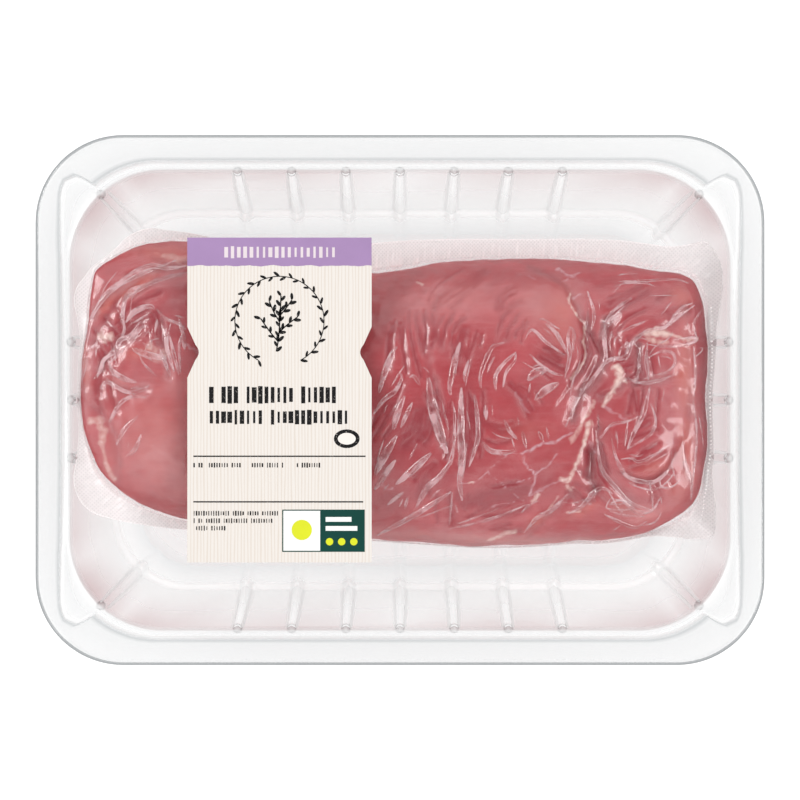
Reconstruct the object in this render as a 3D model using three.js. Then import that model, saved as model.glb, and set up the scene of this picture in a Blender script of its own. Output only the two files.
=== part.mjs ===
// A raw pork tenderloin in its retail pack: the meat is vacuum-packed in a clear pouch, which lies in a clear
// tray, sealed with lidding film and labelled. Millimetres, +Z up. The origin is on the surface that the tray
// stands on, below the middle of the tray. +X runs along the tray's long sides and +Y across them.

import * as THREE from "three";
import { mergeVertices } from "three/addons/utils/BufferGeometryUtils.js";

// Tray: driving dimensions.
const TRAY_LENGTH = 187;
const TRAY_WIDTH = 136;
const TRAY_HEIGHT = 40;
const SHEET = 0.6;
const RIM_CORNER = 22.5;
const RIM_DROP = 2;
const RIM_ROUND = 0.75;
const FLANGE_WIDTH = 6.7;
const FLOOR_RIB = 1.2;

// Tray rings, from the rim's outer foot to the edge of the floor. Each is half the length and width, the
// corner radius and the height of the sheet's upper face, with the height and width of a rib there. The
// ribs of the short sides and corners have endShare of that height.
const HALF_LENGTH = TRAY_LENGTH / 2;
const HALF_WIDTH = TRAY_WIDTH / 2;
const NO_RIB = { rib: 0, ribWidth: 2.6, endShare: 1 };
const RIM_FOOT = { ...NO_RIB, x: HALF_LENGTH, y: HALF_WIDTH, corner: RIM_CORNER, z: TRAY_HEIGHT - RIM_DROP };
const RIM_SHOULDER = { ...RIM_FOOT, z: TRAY_HEIGHT - RIM_ROUND };
const RIM_EDGE = {
  ...NO_RIB,
  x: HALF_LENGTH - RIM_ROUND,
  y: HALF_WIDTH - RIM_ROUND,
  corner: RIM_CORNER - RIM_ROUND,
  z: TRAY_HEIGHT,
};
const CAVITY_MOUTH = {
  ...NO_RIB,
  x: HALF_LENGTH - FLANGE_WIDTH,
  y: HALF_WIDTH - FLANGE_WIDTH,
  corner: 25,
  z: TRAY_HEIGHT,
  recess: true,
};
const SHELF_OUTER = { ...NO_RIB, x: 86.4, y: 60.7, corner: 24.5, z: 38.3, recess: true };
const SHELF_INNER = { ...NO_RIB, x: 85.2, y: 59.5, corner: 24, z: 37.5 };
const RIB_TOP = { x: 84.55, y: 58.75, corner: 23.7, z: 35.2, rib: 1.2, ribWidth: 2.6, endShare: 1 };
const LEDGE_OUTER = { x: 78.6, y: 51.8, corner: 20.5, z: 13, rib: 1.5, ribWidth: 3.7, endShare: 1 };
const LEDGE_INNER = { x: 77.2, y: 50.3, corner: 19.5, z: 12.2, rib: 1.6, ribWidth: 4.2, endShare: 1 };
const FLOOR_FOOT = { x: 72.6, y: 46.6, corner: 16, z: 3.5, rib: 0.9, ribWidth: 4.2, endShare: 0.4 };
const FLOOR_EDGE = { x: 69.6, y: 43.6, corner: 13.5, z: SHEET, rib: FLOOR_RIB, ribWidth: 3.7, endShare: 0 };
const TRAY_RINGS = [
  RIM_FOOT, RIM_SHOULDER, RIM_EDGE, CAVITY_MOUTH, SHELF_OUTER, SHELF_INNER, RIB_TOP,
  LEDGE_OUTER, LEDGE_INNER, FLOOR_FOOT, FLOOR_EDGE,
];
// The sheet's thickness is measured square to its face, but a sharp bend mitres it no further than this.
const SHARPEST_MITRE = 0.6;

// Ribs: hollow, half round, standing into the cavity.
const LONG_RIB_PITCH = 14;
const LONG_RIBS_EACH_SIDE = 3;
const SHORT_RIB_PITCH = 15;
const CORNER_RIB_ANGLE = 49;
const CORNER_RIB_WIDEST = 5.5;
const RIB_SECTION = [-1, -0.75, 0, 0.75, 1];
const CORNER_ANGLES = [0, 10, 19, 27, 34, 40, 58, 68, 79, 90];

// Peel recess in each corner of the flange: its edge as angles from the short side's direction and
// distances from the centre of the mouth's corner arc.
const RECESS_EDGE = [
  [0, 25], [10, 25.6], [19, 26.7], [27, 28.4], [34, 30.3], [40, 31.2], [43.5, 30.8], [46.2, 28.6], [48.6, 25],
];

// Tenderloin: the spine's ends, and the outline round it at its widest.
const SPINE_LEFT = { x: -48, y: 5 };
const SPINE_RIGHT = { x: 48, y: -1 };
const SPINE_STATIONS = 40;
const CAP_STEPS = 26;
const UPPER_EDGE = [[-48, 41.3], [-28, 37.6], [-8, 34.2], [12, 37], [36, 38], [48, 37.4]];
const LOWER_EDGE = [[-48, -33.6], [-28, -36.2], [-8, -37.6], [20, -39.4], [36, -39.1], [48, -37.6]];
// The left cap is turned 180 degrees, so both caps run from -90 to 90 degrees about their spine end.
const LEFT_CAP = [
  [-90, 36.3], [-62, 40.9], [-52, 42.0], [-43.5, 43.0], [-36.6, 41], [-25.5, 36.9], [-6.6, 34.7],
  [10, 35.1], [27, 37.4], [40.5, 39.5], [54, 39.6], [77, 38.2], [90, 38.6],
];
const RIGHT_CAP = [
  [-90, 36.6], [-58, 38.6], [-41.4, 39.2], [-26.6, 35.7], [1.8, 32.4], [27.4, 36.7], [42, 42.1],
  [49.4, 43.6], [62.4, 40.2], [82, 38.2], [90, 38.4],
];

// Tenderloin: heights of its underside, of its widest line and of its crown. It lies on the floor ribs, and
// its ends ride up the tray's short walls from END_START on, leaning in with them lower down.
const CLEARANCE = 0.3;
const MEAT_BOTTOM = SHEET + FLOOR_RIB + CLEARANCE;
const WAIST_MIDDLE = 16;
const WAIST_LEFT = 34.2;
const WAIST_RIGHT = 28;
const CROWN_LEFT = 37.4;
const CROWN_MIDDLE = 35;
const CROWN_RIGHT = 35.6;
const CROWN_REACH = 80;
const END_START = 34;
const END_FULL = 79;
const END_POWER = 1.4;
const END_LEAN = 0.3;
// Rounding of the section: the powers of its reach and rise above the widest line, and below it.
const TOP_ROUND = { reach: 2.6, rise: 0.42 };
const UNDER_ROUND = { reach: 0.55, drop: 2.6 };
const TOP_LEVELS = [0.12, 0.24, 0.35, 0.46, 0.56, 0.66, 0.75, 0.83, 0.9, 0.95, 0.985, 0.999];
const UNDER_LEVELS = [0.97, 0.88, 0.72, 0.5, 0.25];

// Folds of the lump's top side: each is a line of points, the depth of its valley and its half width.
const FOLDS = [
  { depth: 3.0, width: 2.6, line: [[41, 34], [46.5, 27], [49.5, 16], [46.5, 1], [48, -8], [44, -21]] },
  { depth: 3.4, width: 2.2, line: [[53.5, 21], [53.4, 11.5], [48, 4]] },
  { depth: 3.6, width: 2.4, line: [[50.5, -13], [52, -22], [47, -30]] },
  { depth: 1.8, width: 2.4, line: [[58, -16], [64, -25], [73, -27]] },
  { depth: 1.6, width: 2.2, line: [[77, 25], [73, 12], [61, 12]] },
  { depth: 2.2, width: 2.4, line: [[-56, 33], [-66, 29.5], [-74, 23], [-80, 14]] },
  { depth: 1.8, width: 2.2, line: [[-62, 25], [-70, 18], [-72, 10], [-76, 4]] },
  { depth: 1.6, width: 2.2, line: [[-79, -4], [-75, -12], [-73, -22]] },
  { depth: 1.4, width: 2.6, line: [[10, 10], [14, -6], [16, -26]] },
];
// Lobes between the folds: centre, half length and half width, and height above the crown.
const LOBES = [
  { x: 24, y: 6, length: 30, width: 28, height: 2.0 },
  { x: 65, y: 22, length: 12, width: 9, height: 1.4 },
  { x: 66, y: -6, length: 10, width: 12, height: 1.4 },
  { x: -64, y: -10, length: 12, width: 14, height: 1.2 },
];

// Pouch seal: flat film margin round the lump, as its width and the height of its outer edge.
const SEAL = 0.5;
const SEAL_UPPER = [[-48, 1.2], [-20, 4.5], [-6, 8.0], [12, 6.2], [36, 5.2], [48, 5.6]];
const SEAL_LOWER = [[-48, 1.4], [-28, 0.8], [36, 0.8], [48, 0.8]];
const SEAL_LEFT = [
  [-90, 1.2], [-62, 2.6], [-52, 3.4], [-43.5, 1.2], [-36.6, 1.2], [-25.5, 1.6], [-6.6, 0.9],
  [10, 0.8], [27, 1.6], [40.5, 3.4], [54, 3.8], [77, 2.2], [90, 1.4],
];
const SEAL_RIGHT = [
  [-90, 0.8], [-58, 4.2], [-41.4, 6.2], [-26.6, 2.0], [1.8, 1.5], [27.4, 2.4], [42, 5.2],
  [49.4, 6.4], [62.4, 6.6], [82, 5.8], [90, 5.6],
];
const SEAL_EDGE_MIDDLE = 18;
const SEAL_EDGE_LEFT = 36.4;
const SEAL_EDGE_RIGHT = 34.6;

// Lidding film and label.
const FILM = 0.3;
const FILM_INSET = 1.6;
const LABEL = { x: -30.8, y: 0, length: 47.1, height: 83, thickness: 0.2 };
const NOTCH = { y: 12.2, half: 6.5, depth: 2.95, tip: 1.9, pull: 1.28 };

// Materials: colours as seen, roughness and metalness.
const plainFinish = (color, roughness) => new THREE.MeshStandardMaterial({ color, roughness, metalness: 0 });
const clearFinish = (color, roughness, opacity) =>
  new THREE.MeshStandardMaterial({ color, roughness, metalness: 0, transparent: true, opacity });
const trayMaterial = clearFinish(0xeef0f0, 0.1, 0.35);
const filmMaterial = clearFinish(0xf6f7f7, 0.08, 0.2);
const meatMaterial = plainFinish(0xb85a60, 0.35);
const paperMaterial = plainFinish(0xf3eee8, 0.8);

const DEG = Math.PI / 180;
const lerp = (a, b, t) => a + (b - a) * t;
const clamp = (v, low, high) => Math.min(Math.max(v, low), high);

// A smooth curve through [place, value] pairs, read at a place.
function through(pairs, place) {
  const last = pairs.length - 1;
  const p = clamp(place, pairs[0][0], pairs[last][0]);
  let i = 0;
  while (i < last - 1 && p > pairs[i + 1][0]) i++;
  const [x0, y0] = pairs[i];
  const [x1, y1] = pairs[i + 1];
  const slope = (a, b) => (pairs[b][1] - pairs[a][1]) / (pairs[b][0] - pairs[a][0]);
  const m0 = i > 0 ? slope(i - 1, i + 1) : slope(i, i + 1);
  const m1 = i + 2 <= last ? slope(i, i + 2) : slope(i, i + 1);
  const h = x1 - x0;
  const t = (p - x0) / h;
  const blend = t * t * (3 - 2 * t);
  const leaving = t * (1 - t) ** 2 * h * m0;
  const arriving = t * t * (t - 1) * h * m1;
  return lerp(y0, y1, blend) + leaving + arriving;
}

// Collects triangles and quads of a closed surface, and drops faces that shrink to nothing.
class Shell {
  constructor() {
    this.corners = [];
  }
  face(...points) {
    for (let i = 1; i + 1 < points.length; i++) {
      const three = [points[0], points[i], points[i + 1]];
      const same = (a, b) => a.distanceTo(b) < 1e-4;
      if (same(three[0], three[1]) || same(three[1], three[2]) || same(three[2], three[0])) continue;
      for (const p of three) this.corners.push(p.x, p.y, p.z);
    }
  }
  // Joins two closed rings of equally many points: first to second is outwards on the left-hand side.
  band(first, second) {
    first.forEach((p, i) => {
      const j = (i + 1) % first.length;
      this.face(p, first[j], second[j], second[i]);
    });
  }
  geometry() {
    const g = new THREE.BufferGeometry();
    g.setAttribute("position", new THREE.Float32BufferAttribute(this.corners, 3));
    const merged = mergeVertices(g, 1e-4);
    merged.computeVertexNormals();
    return merged;
  }
}

function namedMesh(name, geometry, material) {
  const mesh = new THREE.Mesh(geometry, material);
  mesh.name = name;
  return mesh;
}

// Tray

// The places round a cavity ring, anticlockwise from the right-hand side. Each place knows its side,
// how far along that side it is or its angle in the corner after it, and where it is in a rib's section.
function trayPlaces() {
  const longRibs = [];
  for (let i = -LONG_RIBS_EACH_SIDE; i <= LONG_RIBS_EACH_SIDE; i++) longRibs.push(i * LONG_RIB_PITCH);
  const shortRibs = [-SHORT_RIB_PITCH, 0, SHORT_RIB_PITCH];
  const places = [];
  for (let side = 0; side < 4; side++) {
    const short = side % 2 === 0;
    for (const along of short ? shortRibs : longRibs)
      for (const s of RIB_SECTION) places.push({ side, short, along, s });
    const turned = (angle) => (short ? angle : 90 - angle);
    for (const angle of CORNER_ANGLES) places.push({ side, short, angle: turned(angle) });
    for (const s of RIB_SECTION) places.push({ side, short, angle: turned(CORNER_RIB_ANGLE), s });
  }
  // Each corner comes after its side, and counts further on than any place along a side.
  const sideStep = 1000;
  const cornerStep = 500;
  const along = (p) => (p.angle === undefined ? p.along : cornerStep + p.angle);
  const order = (p) => p.side * sideStep + along(p) + (p.s ?? 0);
  return places.sort((a, b) => order(a) - order(b));
}

// The radius of a corner arc that the recess widens, at an angle from the short side's direction.
function recessRadius(angle, radius) {
  return angle > RECESS_EDGE.at(-1)[0] ? radius : Math.max(radius, through(RECESS_EDGE, angle));
}

// A point of a ring: its place in plan, and the plan direction into the cavity.
function ringPlace(ring, place) {
  const half = place.short ? ring.x : ring.y;
  const other = place.short ? ring.y : ring.x;
  const ribHalf = ring.ribWidth / 2;
  const p = new THREE.Vector2();
  const inward = new THREE.Vector2();
  if (place.angle === undefined) {
    p.set(half, place.along + (place.s ?? 0) * ribHalf);
    inward.set(-1, 0);
  } else {
    const widen = (place.s ?? 0) * Math.min(ribHalf / ring.corner / DEG, CORNER_RIB_WIDEST);
    const angle = place.angle + widen;
    const r = ring.recess ? recessRadius(place.short ? angle : 90 - angle, ring.corner) : ring.corner;
    const way = new THREE.Vector2(Math.cos(angle * DEG), Math.sin(angle * DEG));
    p.set(half - ring.corner, other - ring.corner).addScaledVector(way, r);
    inward.copy(way).negate();
  }
  const turn = (place.side * Math.PI) / 2;
  const origin = new THREE.Vector2();
  return { p: p.rotateAround(origin, turn), inward: inward.rotateAround(origin, turn) };
}

function ribHeight(ring, place) {
  if (place.s === undefined) return 0;
  const round = Math.sqrt(Math.max(0, 1 - place.s * place.s));
  const share = place.angle === undefined && !place.short ? 1 : ring.endShare;
  return ring.rib * share * round;
}

// The rings' profile normals, which point up and into the cavity, mitred between neighbouring stretches.
function ringNormals() {
  const stretch = (a, b) => new THREE.Vector2(a.z - b.z, a.y - b.y).normalize();
  return TRAY_RINGS.map((ring, i) => {
    const before = i > 0 ? stretch(TRAY_RINGS[i - 1], ring) : new THREE.Vector2(-1, 0);
    const after = i + 1 < TRAY_RINGS.length ? stretch(ring, TRAY_RINGS[i + 1]) : new THREE.Vector2(0, 1);
    const mid = before.clone().add(after).normalize();
    return mid.divideScalar(Math.max(SHARPEST_MITRE, mid.dot(before)));
  });
}

function trayGeometry() {
  const normals = ringNormals();
  const places = trayPlaces();
  const surface = (drop) =>
    TRAY_RINGS.map((ring, i) =>
      places.map((place) => {
        const { p, inward } = ringPlace(ring, place);
        const out = ribHeight(ring, place) - drop;
        const xy = p.addScaledVector(inward, normals[i].x * out);
        return new THREE.Vector3(xy.x, xy.y, ring.z + normals[i].y * out);
      }),
    );
  const upper = surface(0);
  const lower = surface(SHEET);
  const shell = new Shell();
  for (let i = 0; i + 1 < TRAY_RINGS.length; i++) {
    shell.band(upper[i], upper[i + 1]);
    shell.band(lower[i + 1], lower[i]);
  }
  shell.band(lower[0], upper[0]);
  // Floor: strips between the long sides, and a fan at each end.
  const closeFloor = (ring, face, z) => {
    const near = [];
    const far = [];
    places.forEach((place, i) => {
      if (place.short || place.angle !== undefined) return;
      (place.side === 1 ? far : near).push(ring[i]);
    });
    far.reverse();
    for (let i = 0; i + 1 < near.length; i++) face(near[i], near[i + 1], far[i + 1], far[i]);
    for (const sign of [-1, 1]) {
      const hub = new THREE.Vector3(sign * (FLOOR_EDGE.x - FLOOR_EDGE.corner), 0, z);
      const bearing = (p) => sign * Math.atan2(p.y, (p.x - hub.x) * sign);
      const reach = Math.abs(near[0].x) - 1e-3;
      const edge = ring.filter((p) => p.x * sign >= reach);
      edge.sort((a, b) => bearing(a) - bearing(b));
      edge.forEach((p, i) => face(hub, p, edge[(i + 1) % edge.length]));
    }
  };
  closeFloor(upper.at(-1), (...p) => shell.face(...p), SHEET);
  closeFloor(lower.at(-1), (...p) => shell.face(...p.reverse()), 0);
  return shell.geometry();
}

// Tenderloin in its pouch

// The places round the lump, anticlockwise from the lower left: each has a point on the spine, a point
// on the outline, a unit direction outwards, a seal width, and how far it belongs to either end, from -1
// on the left to 1 on the right.
function meatPlaces() {
  const places = [];
  const add = (spine, outline, out, seal) => {
    const share = clamp((Math.abs(outline.x) - END_START) / (END_FULL - END_START), 0, 1);
    places.push({ spine, outline, out, seal, end: Math.sign(outline.x) * share ** END_POWER });
  };
  const length = SPINE_RIGHT.x - SPINE_LEFT.x;
  const side = (share, edge, seal, way) => {
    const x = SPINE_LEFT.x + share * length;
    const spine = new THREE.Vector2(x, lerp(SPINE_LEFT.y, SPINE_RIGHT.y, share));
    add(spine, new THREE.Vector2(x, through(edge, x)), new THREE.Vector2(0, way), through(seal, x));
  };
  const cap = (centre, sign, radii, seal) => {
    for (let i = 0; i <= CAP_STEPS; i++) {
      const angle = lerp(-90, 90, i / CAP_STEPS);
      const way = new THREE.Vector2(Math.cos(angle * DEG) * sign, Math.sin(angle * DEG) * sign);
      const spine = new THREE.Vector2(centre.x, centre.y);
      add(spine, spine.clone().addScaledVector(way, through(radii, angle)), way, through(seal, angle));
    }
  };
  for (let i = 1; i < SPINE_STATIONS; i++) side(i / SPINE_STATIONS, LOWER_EDGE, SEAL_LOWER, -1);
  cap(SPINE_RIGHT, 1, RIGHT_CAP, SEAL_RIGHT);
  for (let i = SPINE_STATIONS - 1; i > 0; i--) side(i / SPINE_STATIONS, UPPER_EDGE, SEAL_UPPER, 1);
  cap(SPINE_LEFT, -1, LEFT_CAP, SEAL_LEFT);
  return places;
}

const atEnd = (end, left, middle, right) => lerp(middle, end < 0 ? left : right, Math.abs(end));

function distanceToLine(x, y, line) {
  let best = Infinity;
  for (let i = 0; i + 1 < line.length; i++) {
    const [ax, ay] = line[i];
    const [bx, by] = line[i + 1];
    const length2 = (bx - ax) ** 2 + (by - ay) ** 2;
    const t = clamp(((x - ax) * (bx - ax) + (y - ay) * (by - ay)) / length2, 0, 1);
    best = Math.min(best, Math.hypot(x - lerp(ax, bx, t), y - lerp(ay, by, t)));
  }
  return best;
}

function crownAt(x, y) {
  const t = clamp(Math.abs(x) / CROWN_REACH, 0, 1);
  let z = lerp(CROWN_MIDDLE, x < 0 ? CROWN_LEFT : CROWN_RIGHT, t * t);
  for (const lobe of LOBES) {
    const r2 = ((x - lobe.x) / lobe.length) ** 2 + ((y - lobe.y) / lobe.width) ** 2;
    z += lobe.height * Math.exp(-r2);
  }
  for (const fold of FOLDS) {
    const away = distanceToLine(x, y, fold.line) / fold.width;
    z -= fold.depth * Math.exp(-away * away);
  }
  return z;
}

function meatGeometry() {
  const places = meatPlaces();
  const waist = (p) => atEnd(p.end, WAIST_LEFT, WAIST_MIDDLE, WAIST_RIGHT);
  // Top side: a full rounded section, from the spine out to the outline.
  const top = (reach) =>
    places.map((p) => {
      const xy = p.spine.clone().lerp(p.outline, reach);
      const rise = (1 - reach ** TOP_ROUND.reach) ** TOP_ROUND.rise;
      return new THREE.Vector3(xy.x, xy.y, lerp(waist(p), crownAt(xy.x, xy.y), rise));
    });
  // Underside: a fuller section, which leans in with the tray's end walls.
  const under = (share) =>
    places.map((p) => {
      const drop = (waist(p) - MEAT_BOTTOM) * Math.sqrt(1 - share ** UNDER_ROUND.drop);
      const xy = p.spine.clone().lerp(p.outline, share ** UNDER_ROUND.reach);
      xy.addScaledVector(p.out, -END_LEAN * Math.abs(p.end) * drop * share);
      return new THREE.Vector3(xy.x, xy.y, waist(p) - drop);
    });
  const sealRing = (width, lift) =>
    places.map((p) => {
      const edge = atEnd(p.end, SEAL_EDGE_LEFT, SEAL_EDGE_MIDDLE, SEAL_EDGE_RIGHT);
      const xy = p.outline.clone().addScaledVector(p.out, p.seal * width);
      return new THREE.Vector3(xy.x, xy.y, lerp(waist(p), edge, width) + lift);
    });
  const spineRing = (z) => places.map((p) => new THREE.Vector3(p.spine.x, p.spine.y, z(p.spine)));
  const rings = [
    spineRing((s) => crownAt(s.x, s.y)),
    ...TOP_LEVELS.map(top),
    sealRing(0, SEAL / 2),
    sealRing(1, SEAL / 2),
    sealRing(1, -SEAL / 2),
    sealRing(0, -SEAL / 2),
    ...UNDER_LEVELS.map(under),
    spineRing(() => MEAT_BOTTOM),
  ];
  const shell = new Shell();
  for (let i = 0; i + 1 < rings.length; i++) shell.band(rings[i + 1], rings[i]);
  return shell.geometry();
}

// Film and label

function roundedRectangle(halfX, halfY, corner) {
  const shape = new THREE.Shape();
  for (let k = 0; k < 4; k++) {
    const x = (k === 0 || k === 3 ? 1 : -1) * (halfX - corner);
    const y = (k < 2 ? 1 : -1) * (halfY - corner);
    shape.absarc(x, y, corner, k * 90 * DEG, (k + 1) * 90 * DEG, false);
  }
  return shape;
}

function plate(shape, z, thickness) {
  const settings = { depth: thickness, bevelEnabled: false, curveSegments: 8 };
  return new THREE.ExtrudeGeometry(shape, settings).translate(0, 0, z);
}

function labelShape() {
  const right = LABEL.x + LABEL.length / 2;
  const left = LABEL.x - LABEL.length / 2;
  const top = LABEL.y + LABEL.height / 2;
  const bottom = LABEL.y - LABEL.height / 2;
  // A notch is two slanted cuts that meet in a rounded tip.
  const tipShare = 1 - NOTCH.tip / NOTCH.half;
  const notch = (shape, edge, into, way) => {
    const tipX = edge + into * NOTCH.depth * tipShare;
    const pullX = edge + into * NOTCH.depth * NOTCH.pull;
    shape.lineTo(edge, NOTCH.y - way * NOTCH.half);
    shape.lineTo(tipX, NOTCH.y - way * NOTCH.tip);
    shape.quadraticCurveTo(pullX, NOTCH.y, tipX, NOTCH.y + way * NOTCH.tip);
    shape.lineTo(edge, NOTCH.y + way * NOTCH.half);
  };
  const shape = new THREE.Shape();
  shape.moveTo(left, bottom);
  shape.lineTo(right, bottom);
  notch(shape, right, -1, 1);
  shape.lineTo(right, top);
  shape.lineTo(left, top);
  notch(shape, left, 1, -1);
  shape.closePath();
  return shape;
}

function filmShape() {
  return roundedRectangle(HALF_LENGTH - FILM_INSET, HALF_WIDTH - FILM_INSET, RIM_CORNER - FILM_INSET);
}

const pack = new THREE.Group();
pack.add(
  namedMesh("tray", trayGeometry(), trayMaterial),
  namedMesh("tenderloin_in_pouch", meatGeometry(), meatMaterial),
  namedMesh("lid_film", plate(filmShape(), TRAY_HEIGHT, FILM), filmMaterial),
  namedMesh("label", plate(labelShape(), TRAY_HEIGHT + FILM, LABEL.thickness), paperMaterial),
);

export default pack;
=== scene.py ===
# A raw pork tenderloin in its retail pack: vacuum-packed meat in a clear tray, under clear film and a label.
# The pieces follow in the order in which the pack is put together, and then comes the studio round it.
# Sizes are in millimetres until a mesh is made, with +X along the tray and +Z up.

import math

import bmesh
import bpy
import numpy as np
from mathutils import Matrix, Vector, noise


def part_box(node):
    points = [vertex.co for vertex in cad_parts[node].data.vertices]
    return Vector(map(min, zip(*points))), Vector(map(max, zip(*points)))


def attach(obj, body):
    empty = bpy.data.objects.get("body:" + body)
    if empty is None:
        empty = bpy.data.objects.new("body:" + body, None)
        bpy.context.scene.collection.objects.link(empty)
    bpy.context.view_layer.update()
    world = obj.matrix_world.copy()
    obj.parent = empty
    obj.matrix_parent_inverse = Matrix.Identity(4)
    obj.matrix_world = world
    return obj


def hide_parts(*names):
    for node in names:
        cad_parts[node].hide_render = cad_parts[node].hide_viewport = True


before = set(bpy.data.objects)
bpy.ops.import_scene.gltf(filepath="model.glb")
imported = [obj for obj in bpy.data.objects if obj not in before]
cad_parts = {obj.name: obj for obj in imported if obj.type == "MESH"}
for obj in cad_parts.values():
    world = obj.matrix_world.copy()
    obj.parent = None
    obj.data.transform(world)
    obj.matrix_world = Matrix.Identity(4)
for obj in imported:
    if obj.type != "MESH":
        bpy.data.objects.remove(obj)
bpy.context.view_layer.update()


# Tray
# The tray is clear PET sheet, thermoformed over a mould. One skin makes the sealing flange with its turned
# rim and peel recesses, the narrow shelf, the two-part walls with their ledge, the hollow ribs and the floor.

MM = 0.001
HALF_LENGTH, HALF_WIDTH, TRAY_HEIGHT = (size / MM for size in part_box("tray")[1])
TRAY_SHEET = 0.6
RIM_ROUND = 0.75
FLANGE = 6.7
RIM_X = HALF_LENGTH - RIM_ROUND
RIM_Y = HALF_WIDTH - RIM_ROUND
# Each ring: half length, half width, corner radius, height, rib height, rib width, the share of the rib's
# height on the short sides and in the corners, and whether the peel recess widens it.
TRAY_RINGS = np.array([
    (HALF_LENGTH - TRAY_SHEET, HALF_WIDTH - TRAY_SHEET, 21.9, TRAY_HEIGHT - 1, 0, 2.6, 1, 0),
    (HALF_LENGTH - TRAY_SHEET, HALF_WIDTH - TRAY_SHEET, 21.9, TRAY_HEIGHT - 2, 0, 2.6, 1, 0),
    (HALF_LENGTH, HALF_WIDTH, 22.5, TRAY_HEIGHT - 2, 0, 2.6, 1, 0),
    (HALF_LENGTH, HALF_WIDTH, 22.5, TRAY_HEIGHT - RIM_ROUND, 0, 2.6, 1, 0),
    (RIM_X, RIM_Y, 22.5 - RIM_ROUND, TRAY_HEIGHT, 0, 2.6, 1, 0),
    (HALF_LENGTH - FLANGE, HALF_WIDTH - FLANGE, 25, TRAY_HEIGHT, 0, 2.6, 1, 1),
    (86.4, 60.7, 24.5, 38.3, 0, 2.6, 1, 1),
    (85.2, 59.5, 24, 37.5, 0, 2.6, 1, 0),
    (84.55, 58.75, 23.7, 35.2, 1.2, 2.6, 1, 0),
    (78.6, 51.8, 20.5, 13, 1.5, 3.7, 1, 0),
    (77.2, 50.3, 19.5, 12.2, 1.6, 4.2, 1, 0),
    (72.6, 46.6, 16, 3.5, 0.9, 4.2, 0.4, 0),
    (69.6, 43.6, 13.5, TRAY_SHEET, 1.2, 3.7, 0, 0),
])
BEND_CUT = 0.55
BEND_STEPS = 4
LONG_RIBS = [14 * i for i in range(-3, 4)]
SHORT_RIBS = [-15, 0, 15]
CORNER_RIB_ANGLE = 49
CORNER_RIB_WIDEST = 5.5
RIB_SECTION = [-1.4, -1, -0.8, -0.6, -0.4, -0.2, 0, 0.2, 0.4, 0.6, 0.8, 1, 1.4]
CORNER_ANGLES = [0, 4, 8, 12, 16, 20, 24, 28, 32, 36, 39.5, 58.5, 62, 66, 70, 74, 78, 82, 86, 90]
# Edge of the peel recess: angles from the short side's direction, and radii from the corner arc's centre.
RECESS_EDGE = [
    (0, 25), (10, 25.6), (19, 26.7), (27, 28.4), (34, 30.3), (40, 31.2), (43.5, 30.8),
    (46.2, 28.6), (48.6, 25),
]
# Where the drawn sheet is bent it has a white line of painted highlight or a grey line of painted shade: the
# distance in from the rim, and the share of white or grey there.
RING_GLARE = [
    (0, 0), (0.7, 0), (1.5, 0.25), (3, 0), (6.5, 0), (6.9, 0.35), (7.6, 0.1), (8.4, 0.5), (9, 0.1), (10, 0),
    (14.2, 0), (14.9, 0.6), (16.2, 0.6), (16.8, 0.2), (20, 0), (20.8, 0), (23.4, 0.5), (24.4, 0),
]
RING_PAINTED_SHADE = [
    (0, 0.75), (0.3, 0.6), (0.75, 0.45), (1.4, 0.3), (2.4, 0.22), (5.9, 0.26), (6.5, 0.75), (7, 0.15),
    (8, 0.3), (8.8, 0.04), (14, 0.06), (14.9, 0), (16.4, 0), (17, 0.1), (20.9, 0.3), (23, 0.2), (24, 0.1),
]
# A painted highlight also runs along both edges of each wall rib: where across the rib it lies, and its share.
RIB_LINE = (0.75, 1.1)
RIB_GLARE = 0.6
# The walls begin this far in from the rim.
WALLS_START = 8.4
# Painted reflection of the meat's red on the walls: centre, half length, half width, turn in degrees, strength.
MEAT_REFLECTION_FIELDS = [
    (side * x, end * y, long, wide, side * end * turn, strength) for side in (-1, 1) for end in (-1, 1)
    for x, y, long, wide, turn, strength in (
        (80, 50, 13, 6, -50, 1), (66, 57.8, 16, 2.4, -4, 0.8), (82, 28, 5, 18, 0, 1), (30, 59, 30, 1, 0, 0.7),
        (82.5, 6, 3.4, 24, 0, 0.9))]
PET_FACING = "#F9F9F9"
PET_EDGE_ON = "#E6E6E6"
# The share of light that one face of such plastic mirrors when it is seen straight on.
FACE_MIRRORS = 0.05
# Small round dents end the wall ribs at their tops, in one quarter of the tray.
DENTS = [(0, 59.1, 35.7), (14, 59.1, 35.7), (28, 59.1, 35.7), (42, 59.1, 35.7), (77.4, 53.2, 35.4),
         (85, 0, 35.7), (85, 15, 35.7)]
DENT_RADIUS = 1.25


def through(pairs, places):
    """Reads a smooth curve through (place, value) pairs at the places."""
    at, value = np.array(pairs, float).T
    p = np.clip(places, at[0], at[-1])
    i = np.clip(np.searchsorted(at, p, side="right") - 1, 0, len(at) - 2)
    slope = np.gradient(value, np.arange(len(at))) / np.gradient(at, np.arange(len(at)))
    width = at[i + 1] - at[i]
    t = (p - at[i]) / width
    blend = t * t * (3 - 2 * t)
    leaving = t * (1 - t) ** 2 * width * slope[i]
    arriving = t * t * (t - 1) * width * slope[i + 1]
    return value[i] + (value[i + 1] - value[i]) * blend + leaving + arriving


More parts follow.
